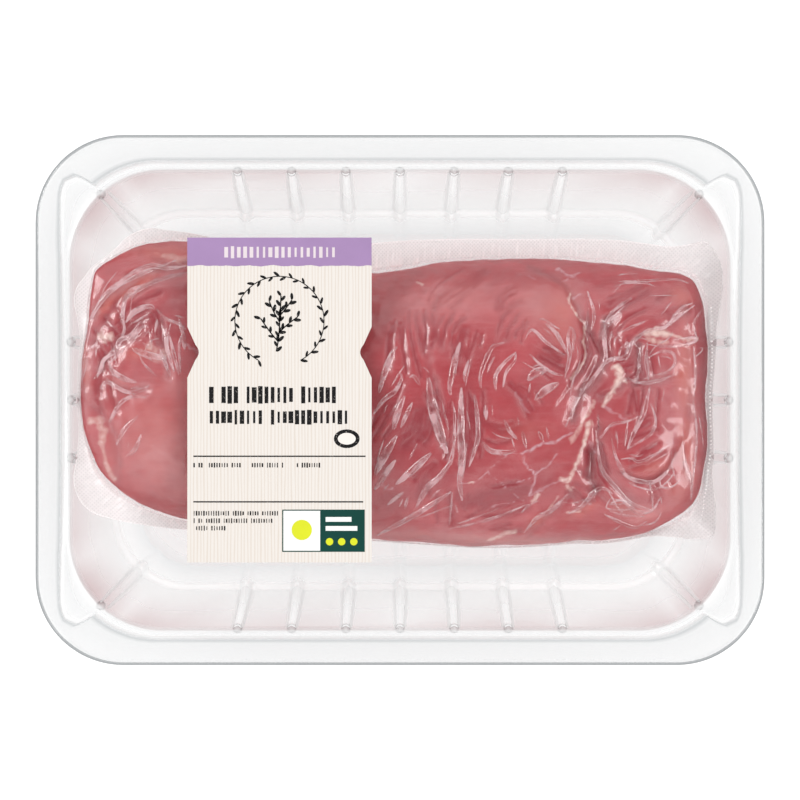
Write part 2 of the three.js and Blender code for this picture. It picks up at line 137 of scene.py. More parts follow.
def softened(rings, cut, steps):
    """Rounds each bend of a profile, with a guard ring on both sides that keeps the flat stretches flat."""
    rows = [rings[0]]
    for before, bend, after in zip(rings, rings[1:], rings[2:]):
        near, far = ((side - bend) / np.hypot(*(side - bend)[[0, 3]]) for side in (before, after))
        gap = [np.hypot(*(side - bend)[[0, 3]]) for side in (before, after)]
        start = bend + near * min(cut, 0.4 * gap[0])
        end = bend + far * min(cut, 0.4 * gap[1])
        rows.append(bend + near * min(1.8 * cut, 0.47 * gap[0]))
        for t in np.linspace(0, 1, steps + 1):
            rows.append((1 - t) ** 2 * start + 2 * t * (1 - t) * bend + t * t * end)
        rows.append(bend + far * min(1.8 * cut, 0.47 * gap[1]))
    rows.append(rings[-1])
    return np.array(rows)


def tray_columns():
    """The places round a ring, anticlockwise from the right: side, straight, place or angle, rib section."""
    columns = []
    for side in range(4):
        short = side % 2 == 0
        ribs = SHORT_RIBS if short else LONG_RIBS
        columns += [(side, 1, along, s) for along in ribs for s in RIB_SECTION]
        corner = [(angle, np.nan) for angle in CORNER_ANGLES] + [(CORNER_RIB_ANGLE, s) for s in RIB_SECTION]
        turned = [(angle if short else 90 - angle, s) for angle, s in corner]
        turned.sort(key=lambda place: place[0] + np.nan_to_num(place[1]))
        columns += [(side, 0, angle, s) for angle, s in turned]
    return np.array(columns, float).T


def tray_skin(rows, columns):
    """The points of the sheet's upper face, ring by ring."""
    half_x, half_y, corner, height, rib, rib_width, end_share, recess = (rows[:, k:k + 1] for k in range(8))
    side, straight, place, section = columns
    short = side % 2 == 0
    section_or_none = np.nan_to_num(section)
    widen = section_or_none * np.minimum(np.degrees(rib_width / 2 / corner), CORNER_RIB_WIDEST)
    angle = place + widen
    from_short = np.where(short, angle, 90 - angle)
    widened = np.maximum(corner, through(RECESS_EDGE, from_short))
    radius = np.where(from_short < RECESS_EDGE[-1][0], corner + recess * (widened - corner), corner)
    half = np.where(short, half_x, half_y)
    other = np.where(short, half_y, half_x)
    way_x = np.where(straight, 1, np.cos(np.radians(angle)))
    way_y = np.where(straight, 0, np.sin(np.radians(angle)))
    x = np.where(straight, half, half - corner + radius * way_x)
    y = np.where(straight, place + section_or_none * rib_width / 2, other - corner + radius * way_y)
    # The profile's normal, mitred between its stretches, points up and into the cavity.
    stretch = (rows[:-1] - rows[1:])[:, [3, 1]]
    stretch /= np.linalg.norm(stretch, axis=1, keepdims=True)
    before = np.vstack([[(-1, 0)], stretch])
    after = np.vstack([stretch, [(0, 1)]])
    normal = (before + after) / np.maximum(0.1, np.linalg.norm(before + after, axis=1, keepdims=True))
    normal /= np.maximum(0.6, (normal * before).sum(axis=1))[:, None]
    round_share = ((1 + np.cos(np.pi * np.clip(section_or_none, -1, 1))) / 2) ** 0.6 * ~np.isnan(section)
    side_share = np.where(straight * ~short, 1, end_share)
    out = rib * side_share * round_share
    x = x - way_x * normal[:, :1] * out
    y = y - way_y * normal[:, :1] * out
    z = height + normal[:, 1:] * out
    turn = side * math.pi / 2
    turned_x = x * np.cos(turn) - y * np.sin(turn)
    turned_y = x * np.sin(turn) + y * np.cos(turn)
    return np.stack([turned_x, turned_y, z], axis=2)


def ring_faces(rings, columns, flip=False):
    """Quads between closed rings of points."""
    faces = []
    for r in range(rings - 1):
        for c in range(columns):
            n = (c + 1) % columns
            a = r * columns
            b = a + columns
            quad = (a + c, a + n, b + n, b + c)
            faces.append(quad[::-1] if flip else quad)
    return faces


def floor_faces(points, ring, columns, hubs):
    """Closes the floor: strips between the long sides, and a fan from a hub at each end."""
    side, straight = columns[:2]
    near = [ring[i] for i in np.flatnonzero((side == 3) & (straight == 1))]
    far = [ring[i] for i in np.flatnonzero((side == 1) & (straight == 1))][::-1]
    faces = [(near[i], near[i + 1], far[i + 1], far[i]) for i in range(len(near) - 1)]
    reach = abs(points[near[0]][0]) - 1e-3
    for sign, hub in zip((-1, 1), hubs):
        edge = [i for i in ring if points[i][0] * sign >= reach]
        hub_x = points[hub][0]
        edge.sort(key=lambda i: sign * math.atan2(points[i][1], (points[i][0] - hub_x) * sign))
        faces += [(hub, edge[k], edge[(k + 1) % len(edge)]) for k in range(len(edge))]
    return faces


def make_piece(name, points, faces, material, smooth=True):
    """Makes a mesh piece from points in millimetres, with its material, on the body."""
    mesh = bpy.data.meshes.new(name)
    mesh.from_pydata((np.asarray(points) * MM).tolist(), [], faces)
    mesh.materials.append(material)
    if smooth:
        mesh.shade_smooth()
    piece = bpy.data.objects.new(name, mesh)
    bpy.context.scene.collection.objects.link(piece)
    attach(piece, "root")
    return piece


def linear(hex_code):
    """A colour for Blender's sockets, which are linear, from an sRGB hex code."""
    parts = [int(hex_code[i:i + 2], 16) / 255 for i in (1, 3, 5)]
    return (*[c / 12.92 if c <= 0.04045 else ((c + 0.055) / 1.055) ** 2.4 for c in parts], 1)


def add_node(tree, kind, inputs=(), **settings):
    """Adds a node with its settings, and fills its sockets, by name or number, with values or links."""
    node = tree.nodes.new(kind)
    for name, value in settings.items():
        setattr(node, name, value)
    for socket, value in dict(inputs).items():
        if isinstance(value, bpy.types.NodeSocket):
            tree.links.new(value, node.inputs[socket])
        else:
            node.inputs[socket].default_value = value
    return node


def new_material(name):
    """An empty material: its tree and its output node."""
    material = bpy.data.materials.new(name)
    material.use_nodes = True
    material.node_tree.nodes.clear()
    return material, material.node_tree, add_node(material.node_tree, "ShaderNodeOutputMaterial")


def clear_sheet(tree, facing, edge_on, edge_power, gloss, grazing, roughness, normal=None):
    """Clear plastic sheet: it lets light through, greyer edge-on, and mirrors more the flatter it is seen.
    Both of its faces mirror alike, as those of a thin sheet do."""
    bent = {"Normal": normal} if normal else {}
    slant = add_node(tree, "ShaderNodeLayerWeight", {"Blend": 0.5, **bent}).outputs["Facing"]
    curved = add_node(tree, "ShaderNodeMath", {0: slant, 1: edge_power}, operation="POWER")
    tint = add_node(tree, "ShaderNodeMix", {0: curved.outputs[0], 6: linear(facing), 7: linear(edge_on)},
                    data_type="RGBA")
    passed = add_node(tree, "ShaderNodeBsdfTransparent", {"Color": tint.outputs[2]})
    mirror = add_node(tree, "ShaderNodeBsdfGlossy", {"Color": (1, 1, 1, 1), "Roughness": roughness, **bent})
    flat = add_node(tree, "ShaderNodeMath", {0: slant, 1: 5}, operation="POWER")
    share = add_node(tree, "ShaderNodeMath", {0: flat.outputs[0], 1: grazing, 2: gloss * FACE_MIRRORS},
                     operation="MULTIPLY_ADD", use_clamp=True)
    return add_node(tree, "ShaderNodeMixShader", {
        0: share.outputs[0], 1: passed.outputs[0], 2: mirror.outputs[0]})


def haze_of(tree, colour, passing=0.0):
    """Haze in clear plastic. Light spreads inside it, so it is as bright on a slope as on the level, and a
    part of its light may come from the sheet's other side."""
    level = add_node(tree, "ShaderNodeVectorTransform", {0: (0, 0, 1)}, vector_type="NORMAL",
                     convert_from="OBJECT", convert_to="WORLD")
    lit = add_node(tree, "ShaderNodeBsdfDiffuse", {"Color": colour, "Normal": level.outputs[0]}).outputs[0]
    through_it = add_node(tree, "ShaderNodeBsdfTranslucent", {"Color": colour}).outputs[0]
    return add_node(tree, "ShaderNodeMixShader", {0: passing, 1: lit, 2: through_it}).outputs[0]


def thermoformed_pet():
    """Thermoformed PET: clear and glossy, with the faint ripple that drawing the sheet leaves in it. Its bends
    carry painted white highlights and painted grey shade lines, and its walls a painted reflection of the meat's
    red."""
    material, tree, output = new_material("thermoformed_pet")
    place = add_node(tree, "ShaderNodeTexCoord").outputs["Object"]
    ripple = add_node(tree, "ShaderNodeTexNoise", {"Vector": place, "Scale": 1 / (9 * MM), "Detail": 1})
    bump = add_node(tree, "ShaderNodeBump", {
        "Height": ripple.outputs[0], "Strength": 0.25, "Distance": 0.3 * MM})
    look = clear_sheet(tree, PET_FACING, PET_EDGE_ON, 3, 1.8, 1, 0.06, bump.outputs[0]).outputs[0]
    # Painted shade, a painted reflection of the meat's red and painted highlights, each mixed in by its share
    # stored on the mesh.
    grey = add_node(tree, "ShaderNodeBsdfTransparent", {"Color": linear("#A9ADAF")}).outputs[0]
    reflected_red = add_node(tree, "ShaderNodeBsdfTransparent", {"Color": linear("#C8B4B5")}).outputs[0]
    for mask, shader in (("grey", grey), ("blush", reflected_red), ("glare", haze_of(tree, linear("#FFFFFF"), 0.5))):
        share = add_node(tree, "ShaderNodeAttribute", attribute_name=mask).outputs["Fac"]
        look = add_node(tree, "ShaderNodeMixShader", {0: share, 1: look, 2: shader}).outputs[0]
    tree.links.new(look, output.inputs["Surface"])
    return material


def dented_pet():
    """The same sheet at a dent: its middle is painted white as a highlight where it faces the viewer, and its
    steep rim, clearer and greyer edge-on, shows as a grey line.
    """
    material, tree, output = new_material("dented_pet")
    slant = add_node(tree, "ShaderNodeLayerWeight", {"Blend": 0.5}).outputs["Facing"]
    # Painted highlight: the share of white haze grows the more squarely the dent faces the viewer.
    lit = add_node(tree, "ShaderNodeMapRange", {0: slant, 1: 0.15, 2: 0.6, 3: 0.95, 4: 0.2}).outputs[0]
    sheet = clear_sheet(tree, "#FFFFFF", "#E2E2E2", 4, 1.8, 1, 0.06).outputs[0]
    look = add_node(tree, "ShaderNodeMixShader", {0: lit, 1: sheet, 2: haze_of(tree, linear("#FFFFFF"))})
    tree.links.new(look.outputs[0], output.inputs["Surface"])
    return material


def paint(piece, name, values):
    """Stores a value from 0 to 1 for each point of a piece, for its material to read."""
    attribute = piece.data.attributes.new(name, "FLOAT", "POINT")
    attribute.data.foreach_set("value", np.clip(values, 0, 1).astype(np.float32))


def in_field(x, y, centre_x, centre_y, half_x, half_y, turn):
    """How far points lie inside a soft-edged, turned ellipse, from 1 at its centre to 0 far out."""
    c, s = math.cos(math.radians(turn)), math.sin(math.radians(turn))
    along = ((x - centre_x) * c + (y - centre_y) * s) / half_x
    across = ((y - centre_y) * c - (x - centre_x) * s) / half_y
    return np.exp(-(along ** 2 + across ** 2))


def fields_at(x, y, fields):
    """The strongest of several soft ellipses at each point."""
    best = np.zeros(np.shape(x))
    for *field, strength in fields:
        best = np.maximum(best, strength * in_field(x, y, *field))
    return best


def node_tree(name, **sizes):
    """An empty Geometry Nodes tree with the named inputs, and its input and output nodes."""
    tree = bpy.data.node_groups.new(name, "GeometryNodeTree")
    tree.interface.new_socket("Geometry", in_out="INPUT", socket_type="NodeSocketGeometry")
    for size, kind in sizes.items():
        tree.interface.new_socket(size, in_out="INPUT", socket_type="NodeSocket" + kind)
    tree.interface.new_socket("Geometry", in_out="OUTPUT", socket_type="NodeSocketGeometry")
    return tree, add_node(tree, "NodeGroupInput").outputs, add_node(tree, "NodeGroupOutput")


def bead_tree():
    """Sets a small round bead at each point, flattened, and uneven in size by chance."""
    tree, given, output = node_tree("beads_at_points", Points="Object", Radius="Float", Flat="Float",
                                    Smallest="Float", Seed="Int", Finish="Material")
    spots = add_node(tree, "GeometryNodeObjectInfo", {"Object": given["Points"]}).outputs["Geometry"]
    ball = add_node(tree, "GeometryNodeMeshIcoSphere", {"Radius": given["Radius"], "Subdivisions": 3})
    squash = add_node(tree, "ShaderNodeCombineXYZ", {0: 1, 1: 1, 2: given["Flat"]}).outputs[0]
    bead = add_node(tree, "GeometryNodeTransform", {"Geometry": ball.outputs[0], "Scale": squash})
    smooth = add_node(tree, "GeometryNodeSetShadeSmooth", {0: bead.outputs[0]})
    size = add_node(tree, "FunctionNodeRandomValue", {2: given["Smallest"], 3: 1, "Seed": given["Seed"]},
                    data_type="FLOAT")
    placed = add_node(tree, "GeometryNodeInstanceOnPoints", {
        "Points": spots, "Instance": smooth.outputs[0], "Scale": size.outputs[1]})
    solid = add_node(tree, "GeometryNodeRealizeInstances", {0: placed.outputs[0]})
    done = add_node(tree, "GeometryNodeSetMaterial", {0: solid.outputs[0], "Material": given["Finish"]})
    tree.links.new(done.outputs[0], output.inputs[0])
    return tree


def point_object(name, places):
    """An object with a point at each place."""
    mesh = bpy.data.meshes.new(name)
    mesh.from_pydata((np.array(places, float) * MM).tolist(), [], [])
    return bpy.data.objects.new(name, mesh)


def grow(name, slot, tree, **sizes):
    """Makes a piece by running a node tree, and keeps the plain mesh that comes out."""
    piece = bpy.data.objects.new(name, bpy.data.meshes.new(name))
    bpy.context.scene.collection.objects.link(piece)
    modifier = piece.modifiers.new(name, "NODES")
    modifier.node_group = tree
    for item in tree.interface.items_tree:
        if item.in_out == "INPUT" and item.name in sizes:
            modifier[item.identifier] = sizes[item.name]
    grown = bpy.data.meshes.new_from_object(piece.evaluated_get(bpy.context.evaluated_depsgraph_get()))
    piece.modifiers.remove(modifier)
    piece.data = grown
    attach(piece, "root")
    return piece


rows = softened(TRAY_RINGS, BEND_CUT, BEND_STEPS)
columns = tray_columns()
ring_count, column_count = len(rows), columns.shape[1]
skin = tray_skin(rows, columns).reshape(-1, 3)
hub_x = TRAY_RINGS[-1][0] - TRAY_RINGS[-1][2]
tray_points = np.vstack([skin, [(-hub_x, 0, TRAY_SHEET), (hub_x, 0, TRAY_SHEET)]])
last_ring = range(len(skin) - column_count, len(skin))
tray_faces = ring_faces(ring_count, column_count)
tray_faces += floor_faces(tray_points, last_ring, columns, (len(skin), len(skin) + 1))
tray = make_piece("tray_shell", tray_points, tray_faces, thermoformed_pet())
inset = (HALF_LENGTH - rows[:, :1]) + 0 * columns[:1]
section = abs(np.nan_to_num(columns[3]))
on_rib_line = (section > RIB_LINE[0]) & (section < RIB_LINE[1]) & (rows[:, 4:5] > 1) & (rows[:, 6:7] == 1)
# Painted light is stored on the skin: white highlights and grey shade along the bends and rib edges, and the
# meat's red as a painted reflection on the walls.
glare = np.maximum(np.interp(inset, *np.transpose(RING_GLARE)), RIB_GLARE * on_rib_line)
grey = np.interp(inset, *np.transpose(RING_PAINTED_SHADE))
wall_foot, wall_top = TRAY_RINGS[9][3], TRAY_RINGS[8][3]
on_walls = np.clip((rows[:, 3:4] - wall_foot) / (wall_top - wall_foot), 0, 1) * (inset > WALLS_START)
blush = on_walls ** 0.5 * fields_at(skin[:, 0], skin[:, 1], MEAT_REFLECTION_FIELDS).reshape(inset.shape)
for name, values in (("glare", glare), ("grey", grey), ("blush", blush)):
    paint(tray, name, np.concatenate([values.ravel(), [0, 0]]))
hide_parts("tray")

dent_places = sorted({(sx * x, sy * y, z) for x, y, z in DENTS for sx in (-1, 1) for sy in (-1, 1)})
dent_points = point_object("dent_points", dent_places)
dents = grow("tray_dents", "clear_tray", bead_tree(), Points=dent_points, Radius=DENT_RADIUS * MM, Flat=0.6,
             Smallest=1.0, Seed=2, Finish=dented_pet())
bpy.data.objects.remove(dent_points)
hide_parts("tray")


# Tenderloin
# The meat is one long muscle, trimmed, with both thin ends folded in to make an even parcel. The vacuum
# squeezes it into the tray's shape: lobes meet in tight folds, with bits of fat and silverskin left on them.

SPINE_LEFT = np.array([-48, 5])
SPINE_RIGHT = np.array([48, -1])
SIDE_STEPS = 200
CAP_STEPS = 250
TOP_STEPS = 98
UNDER_STEPS = 7
UPPER_EDGE = [(-48, 41.3), (-28, 37.6), (-8, 34.2), (12, 37), (36, 38), (48, 37.4)]
LOWER_EDGE = [(-48, -33.6), (-28, -36.2), (-8, -37.6), (20, -39.4), (36, -39.1), (48, -37.6)]
# Both ends fan out from -90 to 90 degrees about their end of the spine, the left one turned half round.
LEFT_CAP = [
    (-90, 36.3), (-62, 40.7), (-52, 41.6), (-43.5, 42.2), (-36.6, 39.6), (-30, 37.4), (-24, 36), (-6.6, 34.7),
    (10, 35.1), (27, 36.8), (40.5, 38), (54, 38.1), (77, 37.8), (90, 38.6),
]
RIGHT_CAP = [
    (-90, 36.6), (-58, 38.6), (-41.4, 39.2), (-26.6, 35.7), (1.8, 32.4), (27.4, 36.7), (42, 42.1),
    (49.4, 43.6), (62.4, 40.2), (82, 38.2), (90, 38.4),
]
MEAT_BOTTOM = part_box("tenderloin_in_pouch")[0][2] / MM
GRAIN_TURN = math.radians(-65)
WELD_GAP = 0.001 * MM
WAIST = (34.2, 16, 28)
CROWN = (37.4, 35, 35.6)
CROWN_REACH = 80
END_START, END_FULL, END_POWER, END_LEAN = 34, 79, 1.4, 0.3
# Marks are worked out up to so many half widths away, and drawn lines keep so far from the meat's edge.
MARK_REACH = 3
LINE_CLEAR = 1.2
PATH_STEP = 0.8
# How much the broad fields deepen the red, partly as painted shade, how much painted shade the valleys of the
# folds and the streaks add, and the valleys' half width.
FIELD_RED_AND_SHADE, VALLEY_SHADE, STREAK_SHADE = 1.2, 0.35, 0.7
VALLEY_HALF = 1.1
# Silverskin shows at this share of the width that is given for it below.
SILVERSKIN_SHARE = 0.65

# Lobes between the folds: centre, half length, half width, turn in degrees, and height.
LOBES = [
    (22, 8, 30, 27, 0, 2.2), (66, 24, 12, 8, 10, 1.2), (66, -8, 8, 11, -15, 1.8), (60, -20, 7, 7, 0, 1.0),
    (-63, -9, 14, 17, 0, 1.4), (-64, 32, 12, 4, 25, 1.0), (-66, 15, 7, 7, 0, 0.6), (40, 14, 8, 8, 0, 0.9),
]
# Folds: the line, the depth, and the half width of the valley on the line's left and on its right.
FOLDS = [
    ([(34.6, 35.1), (39.6, 32.9), (43.4, 30.1), (45.3, 27.3), (47.2, 21.6), (48.5, 18.8)], 2.2, 5.0, 1.0),
    ([(48.5, 18.8), (48.3, 11.3), (46.8, 8.2), (44.6, 5)], 2.6, 4.5, 0.9),
    ([(54, 20.1), (52.9, 16.3), (53.3, 10.7), (50.6, 6.3), (47.2, 1.9), (44.8, -4.9)], 2.8, 1.8, 1.6),
    ([(58.4, 24.5), (54, 20.1)], 1.4, 2.5, 1.4),
    ([(51.2, -8), (51.5, -13.7), (52.8, -18.7), (55.9, -22.5), (60.3, -26.9)], 2.0, 2.4, 1.0),
    ([(49.6, -14), (49.4, -20), (50.9, -22.8)], 3.2, 1.5, 1.5),
    ([(61.9, 14), (61.9, 8.8), (61.6, 5)], 1.8, 0.9, 0.9),
    ([(57.5, 11.8), (61.2, 15.7), (64.1, 17.9), (68.4, 18.8), (72, 21), (76.9, 24.8)], 1.0, 0.9, 2.2),
    ([(52, 1), (56, 2.5), (59.1, 5.2), (62, 4.5), (67.2, 5), (72, 6.3)], 1.4, 1.2, 1.2),
    ([(58.4, -19.4), (61.6, -20.9), (65.9, -21.3), (69.7, -18.1), (71.6, -13.7)], 1.6, 0.9, 2.0),
    ([(73.5, -11.2), (74.1, -16.2), (76, -21.3)], 1.2, 1.0, 1.6),
    ([(44, -24), (47.2, -28.1), (50.9, -24.4), (55, -26.9), (60, -30)], 1.5, 1.6, 1.0),
    ([(34, -36), (38, -31), (44, -25.5)], 1.2, 1.6, 1.0),
    ([(74.6, 28), (75.2, 16), (75.6, 2), (75.4, -10)], 0.8, 0.8, 1.6),
    ([(-79.4, 21.5), (-78.2, 23.8), (-74.3, 27.4), (-70.2, 29.2), (-66, 32.1), (-62.5, 33.9),
      (-55, 35.6)], 2.0, 1.6, 1.2),
    ([(-79.8, 14), (-76.6, 20), (-72.6, 25.9), (-68.4, 28.6), (-64.3, 30.4), (-55, 33.2)], 1.6, 2.0, 1.2),
    ([(-77.3, 7.8), (-76.7, 10.2), (-73.7, 12.6), (-72.3, 15.5), (-69.6, 16.7),
      (-67.2, 20.3)], 1.7, 1.2, 1.6),
    ([(-77.6, 2.8), (-76.1, 4.7), (-70.2, 2), (-66, 2.8)], 1.3, 1.2, 1.4),
    ([(-79.2, -2), (-75.2, -5.8), (-73, -11), (-72.6, -17), (-73.6, -22)], 1.4, 1.0, 1.8),
    ([(-62, 20), (-60.5, 13), (-59.5, 6)], 1.0, 1.0, 1.0),
    ([(9, 5), (9.6, -7.5), (12.2, -14.5)], 1.2, 1.2, 1.6),
    ([(6, 22), (7, 14), (7.4, 6)], 0.8, 1.4, 1.6),
    ([(12, 32), (9.5, 27), (8.8, 23)], 0.7, 1.6, 1.6),
    ([(18, 24), (23, 29), (26, 33)], 0.5, 1.6, 1.8),
]
# The vacuum leaves this share of a fold's depth, and beside the folds it draws shallow streaks into the meat.
FOLD_LEFT = 0.8
STREAK_DEPTH = 0.35
# Streaks, where the film lies wet and tight on the meat: the line and the half width.
STREAKS = [
    ([(9, 24.4), (10.6, 27.3), (14.6, 29.6), (22.5, 33.9)], 1.0),
    ([(1.1, 20.7), (0.9, 14.1), (1.7, 7.5)], 0.8), ([(2.5, 23.4), (2.7, 17.4), (4, 10.8), (5.4, 5.9)], 0.6),
    ([(6.3, 23), (7, 17.4), (6, 12.2)], 0.7),
    ([(13.9, 22.7), (11.9, 18.7), (10.6, 13.5)], 0.8), ([(30.4, 22.4), (28.4, 18.7), (27.4, 15.8)], 0.7),
    ([(29.1, 29.6), (25.8, 27.3), (25.5, 24)], 0.9), ([(16.6, 16.4), (15.2, 12.5), (14.6, 7.5)], 1.0),
    ([(19.9, 17.4), (18.9, 14.8)], 0.6), ([(6.5, 1.5), (8.5, -4), (10.8, -10), (12.2, -13)], 0.9),
    ([(15.9, 1), (16.2, -5), (16.6, -11), (15.4, -17)], 0.5),
    ([(17.6, 2), (18.2, -5), (18.6, -11), (17, -17)], 0.6),
    ([(9.3, -16.5), (6.4, -19.5), (5.2, -22.5), (5, -25)], 1.0), ([(12.9, -24), (13, -28), (13.6, -33)], 0.8),
    ([(16.6, -27.2), (24.1, -25.2), (32.4, -23.6)], 1.5), ([(22, -31), (28, -30.2), (33, -28.6)], 1.0),
    ([(-3, -4), (-0.5, 1), (0.5, 4)], 0.8), ([(-7, -10), (-4, -5), (-2, -1)], 0.9),
    ([(1, -12), (5, -8), (6, -3)], 1.2), ([(22, -6), (26, -8), (30, -7)], 1.4),
    ([(28, 4), (31, 1), (33, -4)], 1.0), ([(36, 11), (40, 9), (42, 8)], 1.0),
    ([(64.4, 28.3), (61.1, 26), (57.1, 24), (54.2, 21)], 0.8), ([(54.4, 19), (54.6, 13), (54.8, 10.8)], 0.7),
    ([(50, 17), (51.5, 12), (49.5, 7), (47, 2.5)], 1.0), ([(68.5, 22.5), (71.3, 23.4), (75.2, 25.4)], 0.8),
    ([(61.5, 13.6), (62.5, 8), (63, 5.5)], 0.6), ([(63, 3.2), (62, -3), (61, -8)], 0.6),
    ([(49.2, -12.7), (50.9, -18.6), (52.5, -21)], 1.2), ([(45.5, -22), (50, -24), (53, -21.5)], 1.0),
    ([(66.7, -22), (68, -25), (67, -27.5)], 0.8), ([(58.5, -12), (60, -10), (66, -7.5)], 1.0),
    ([(60, -17.5), (64, -16.5), (68.5, -14)], 0.9), ([(57, 8), (60, 9), (60.5, 12)], 0.9),
    ([(-76.4, 21.4), (-73.2, 17.4), (-71.4, 15.5)], 0.9), ([(-69, 20), (-71.1, 17.1)], 0.9),
    ([(-63.2, 22.2), (-61.9, 20), (-62.2, 14.8)], 1.1), ([(-64.5, 33.7), (-61.5, 33.4)], 0.6),
    ([(-62.7, 32.2), (-66.1, 30.3), (-69.5, 28.7), (-73.2, 25.6), (-76.1, 24)], 1.0),
    ([(-68, 22.2), (-65, 23.4)], 0.8),
    ([(-78.5, 15), (-77, 9), (-79, 4)], 0.8), ([(-74, 8), (-74.6, 3), (-73, -3)], 0.7),
]
# Bits of fat and silverskin: the line, its half width and its strength.
FAT = [
    ([(64.2, 17.3), (67, 17.6), (69.3, 17)], 1.3, 1.0), ([(64.3, 15.6), (67, 15), (69.3, 14.8)], 0.8, 0.7),
    ([(69.3, 17.4), (74, 15.8), (77.6, 15.8)], 0.6, 0.8), ([(63.4, 17.8), (66, 18.8), (69, 19.1)], 0.4, 0.7),
    ([(55.8, 8.5), (57.1, 6.6), (56.2, 4.2)], 1.1, 1.0), ([(56.2, 4.2), (54.5, 1.3), (52.5, -1.5)], 0.8, 0.9),
    ([(57.6, 5.6), (58.2, 4.4)], 0.7, 0.8), ([(49.9, -0.5), (46.9, -6.8), (44.3, -10.7)], 0.8, 0.65),
    ([(49.2, -5.8), (47.3, -11.7), (46.3, -16), (44.3, -20.3)], 0.75, 0.95),
    ([(42, -20.4), (43.4, -20.8)], 0.9, 0.95), ([(43.6, -22.6), (44.6, -23.2)], 0.8, 0.8),
    ([(44.4, 27.6), (44.3, 25.3), (46.9, 20.7), (48.2, 20.1)], 0.4, 0.85),
    ([(48.2, 20.1), (47.6, 15.5), (48.2, 12.2)], 0.45, 0.8),
    ([(48.2, 12.2), (46.3, 7.9), (44.3, 5.6)], 0.55, 0.75),
    ([(23.8, -37.4), (27.4, -35.4), (30.4, -34.5)], 0.8, 0.75), ([(44, -29.2), (46.9, -28.9)], 0.6, 0.7),
    ([(32.7, -34.8), (35.7, -30.5), (38, -29.2), (41.2, -25.2)], 0.4, 0.5),
    ([(-77.4, 16.3), (-74.8, 16.3)], 1.3, 0.95), ([(-76.9, 17.4), (-76.2, 14.9)], 0.8, 0.7),
    ([(-64.3, 13.4), (-62.7, 11.1), (-60, 12.4)], 1.7, 0.62),
    ([(-79.7, -5.6), (-77.4, -5.2), (-76.4, -8.2), (-77.3, -11)], 1.3, 0.7),
    ([(36, -24.8), (34.6, -26.6)], 0.7, 0.8), ([(-77.3, -11), (-76.4, -15.9), (-74.2, -20.4)], 0.9, 0.6),
    ([(-61, 37.6), (-57, 36.6), (-54, 36.8)], 1.5, 0.5),
    ([(4.6, 31), (5.9, 30.2)], 0.45, 0.7), ([(19.6, -21.4), (18.2, -21.6)], 0.5, 0.7),
]
SILVERSKIN = [
    ([(13.9, -22.1), (19.9, -21.3), (22.5, -18.6), (27.4, -14.4), (32.4, -13.4)], 0.3, 0.6),
    ([(31.4, -13.8), (35, -12), (40.9, -10.7), (44.6, -8.6)], 0.6, 0.95),
    ([(31.7, -14.7), (32.4, -17), (35, -19.3), (34.7, -21.9), (33.7, -25.2)], 0.45, 0.9),
    ([(35, -19.3), (38.3, -17.3), (40.6, -13.7)], 0.4, 0.75), ([(26.8, -22.9), (33.4, -20.3)], 0.22, 0.7),
    ([(22.5, -18.6), (25.5, -21.3), (28.4, -23.3), (32.4, -26.2)], 0.25, 0.75),
    ([(23.8, -27.9), (28.4, -26.9), (32.4, -26.2)], 0.25, 0.6),
    ([(33.7, -25.2), (38, -22.5), (43, -20.4)], 0.6, 0.6),
    ([(41.7, 34.9), (43.6, 33.3), (45.6, 32.9), (47.3, 33.6)], 0.7, 0.8),
    ([(44.4, 32), (43.2, 31.2)], 0.5, 0.6), ([(45.4, 26.8), (47.4, 27.8)], 0.5, 0.7),
    ([(29.8, 1.6), (31.6, -0.4), (33.4, -3.4)], 0.8, 0.5), ([(52.5, -1.8), (56, -3.6), (59, -5.4)], 0.9, 0.55),
    ([(52, -10.2), (54.6, -6.6), (58.6, -5.5)], 0.5, 0.6), ([(49, -10.6), (50.4, -13.4)], 0.8, 0.5),
    ([(-55, 14), (-52.1, 12.4)], 0.9, 0.6), ([(66, -9), (70, -11)], 0.4, 0.6),
    ([(-4.5, -22), (-3, -23.4), (-1.8, -23)], 0.6, 0.6), ([(33, 33), (36, 31.4)], 0.5, 0.4),
]
# Broad fields of deeper red with painted shade beside the folds, of pale pink with painted light on the lobes, of
# warm orange red, and of film that stands off a little and looks milky: centre, half length, half width, turn in
# degrees, strength.
DEEP_RED_AND_SHADE_FIELDS = [
    (3, -9, 9, 5, 65, 0.7), (27, -24, 13, 3.6, 10, 0.7), (17.5, -8, 2.2, 12, 0, 0.7),
    (49.8, 8, 2.4, 12, 8, 0.7), (50.6, -17, 2.2, 5, 12, 0.9), (40, 11, 5, 3, -40, 0.5),
    (62, 8, 4, 8, 0, 0.5), (68, 27, 10, 3, 12, 0.45),
    (79.8, 4, 2.4, 24, 3, 0.8), (8, -22, 14, 4, 20, 0.45), (30, 33, 20, 2, -4, 0.4), (-64, 22, 8, 2, 28, 0.5),
    (-72, 17, 4, 3, 40, 0.7), (-61, 17, 3, 5, 0, 0.6), (-4, -16, 5, 3, 60, 0.5), (37, -22, 5, 3, 30, 0.5),
]
PALE_AND_LIT_FIELDS = [
    (14, 27, 14, 5, 8, 0.4), (36, 25, 8, 6, -25, 0.55), (-62, -12, 12, 14, 0, 0.7),
    (30, -37.4, 40, 2, -3, 0.8), (-70, 31, 11, 2, 32, 0.5), (74, 0, 2.4, 24, 0, 0.3),
    (-60, 3, 6, 5, 0, 0.4), (66, -30, 8, 3, 14, 0.5),
    (42, 25, 3, 6, 0, 0.4), (-72, 5, 4, 2, -15, 0.5), (-61, 39, 8, 2, 0, 0.6), (-74, -14, 4, 9, 8, 0.35),
]
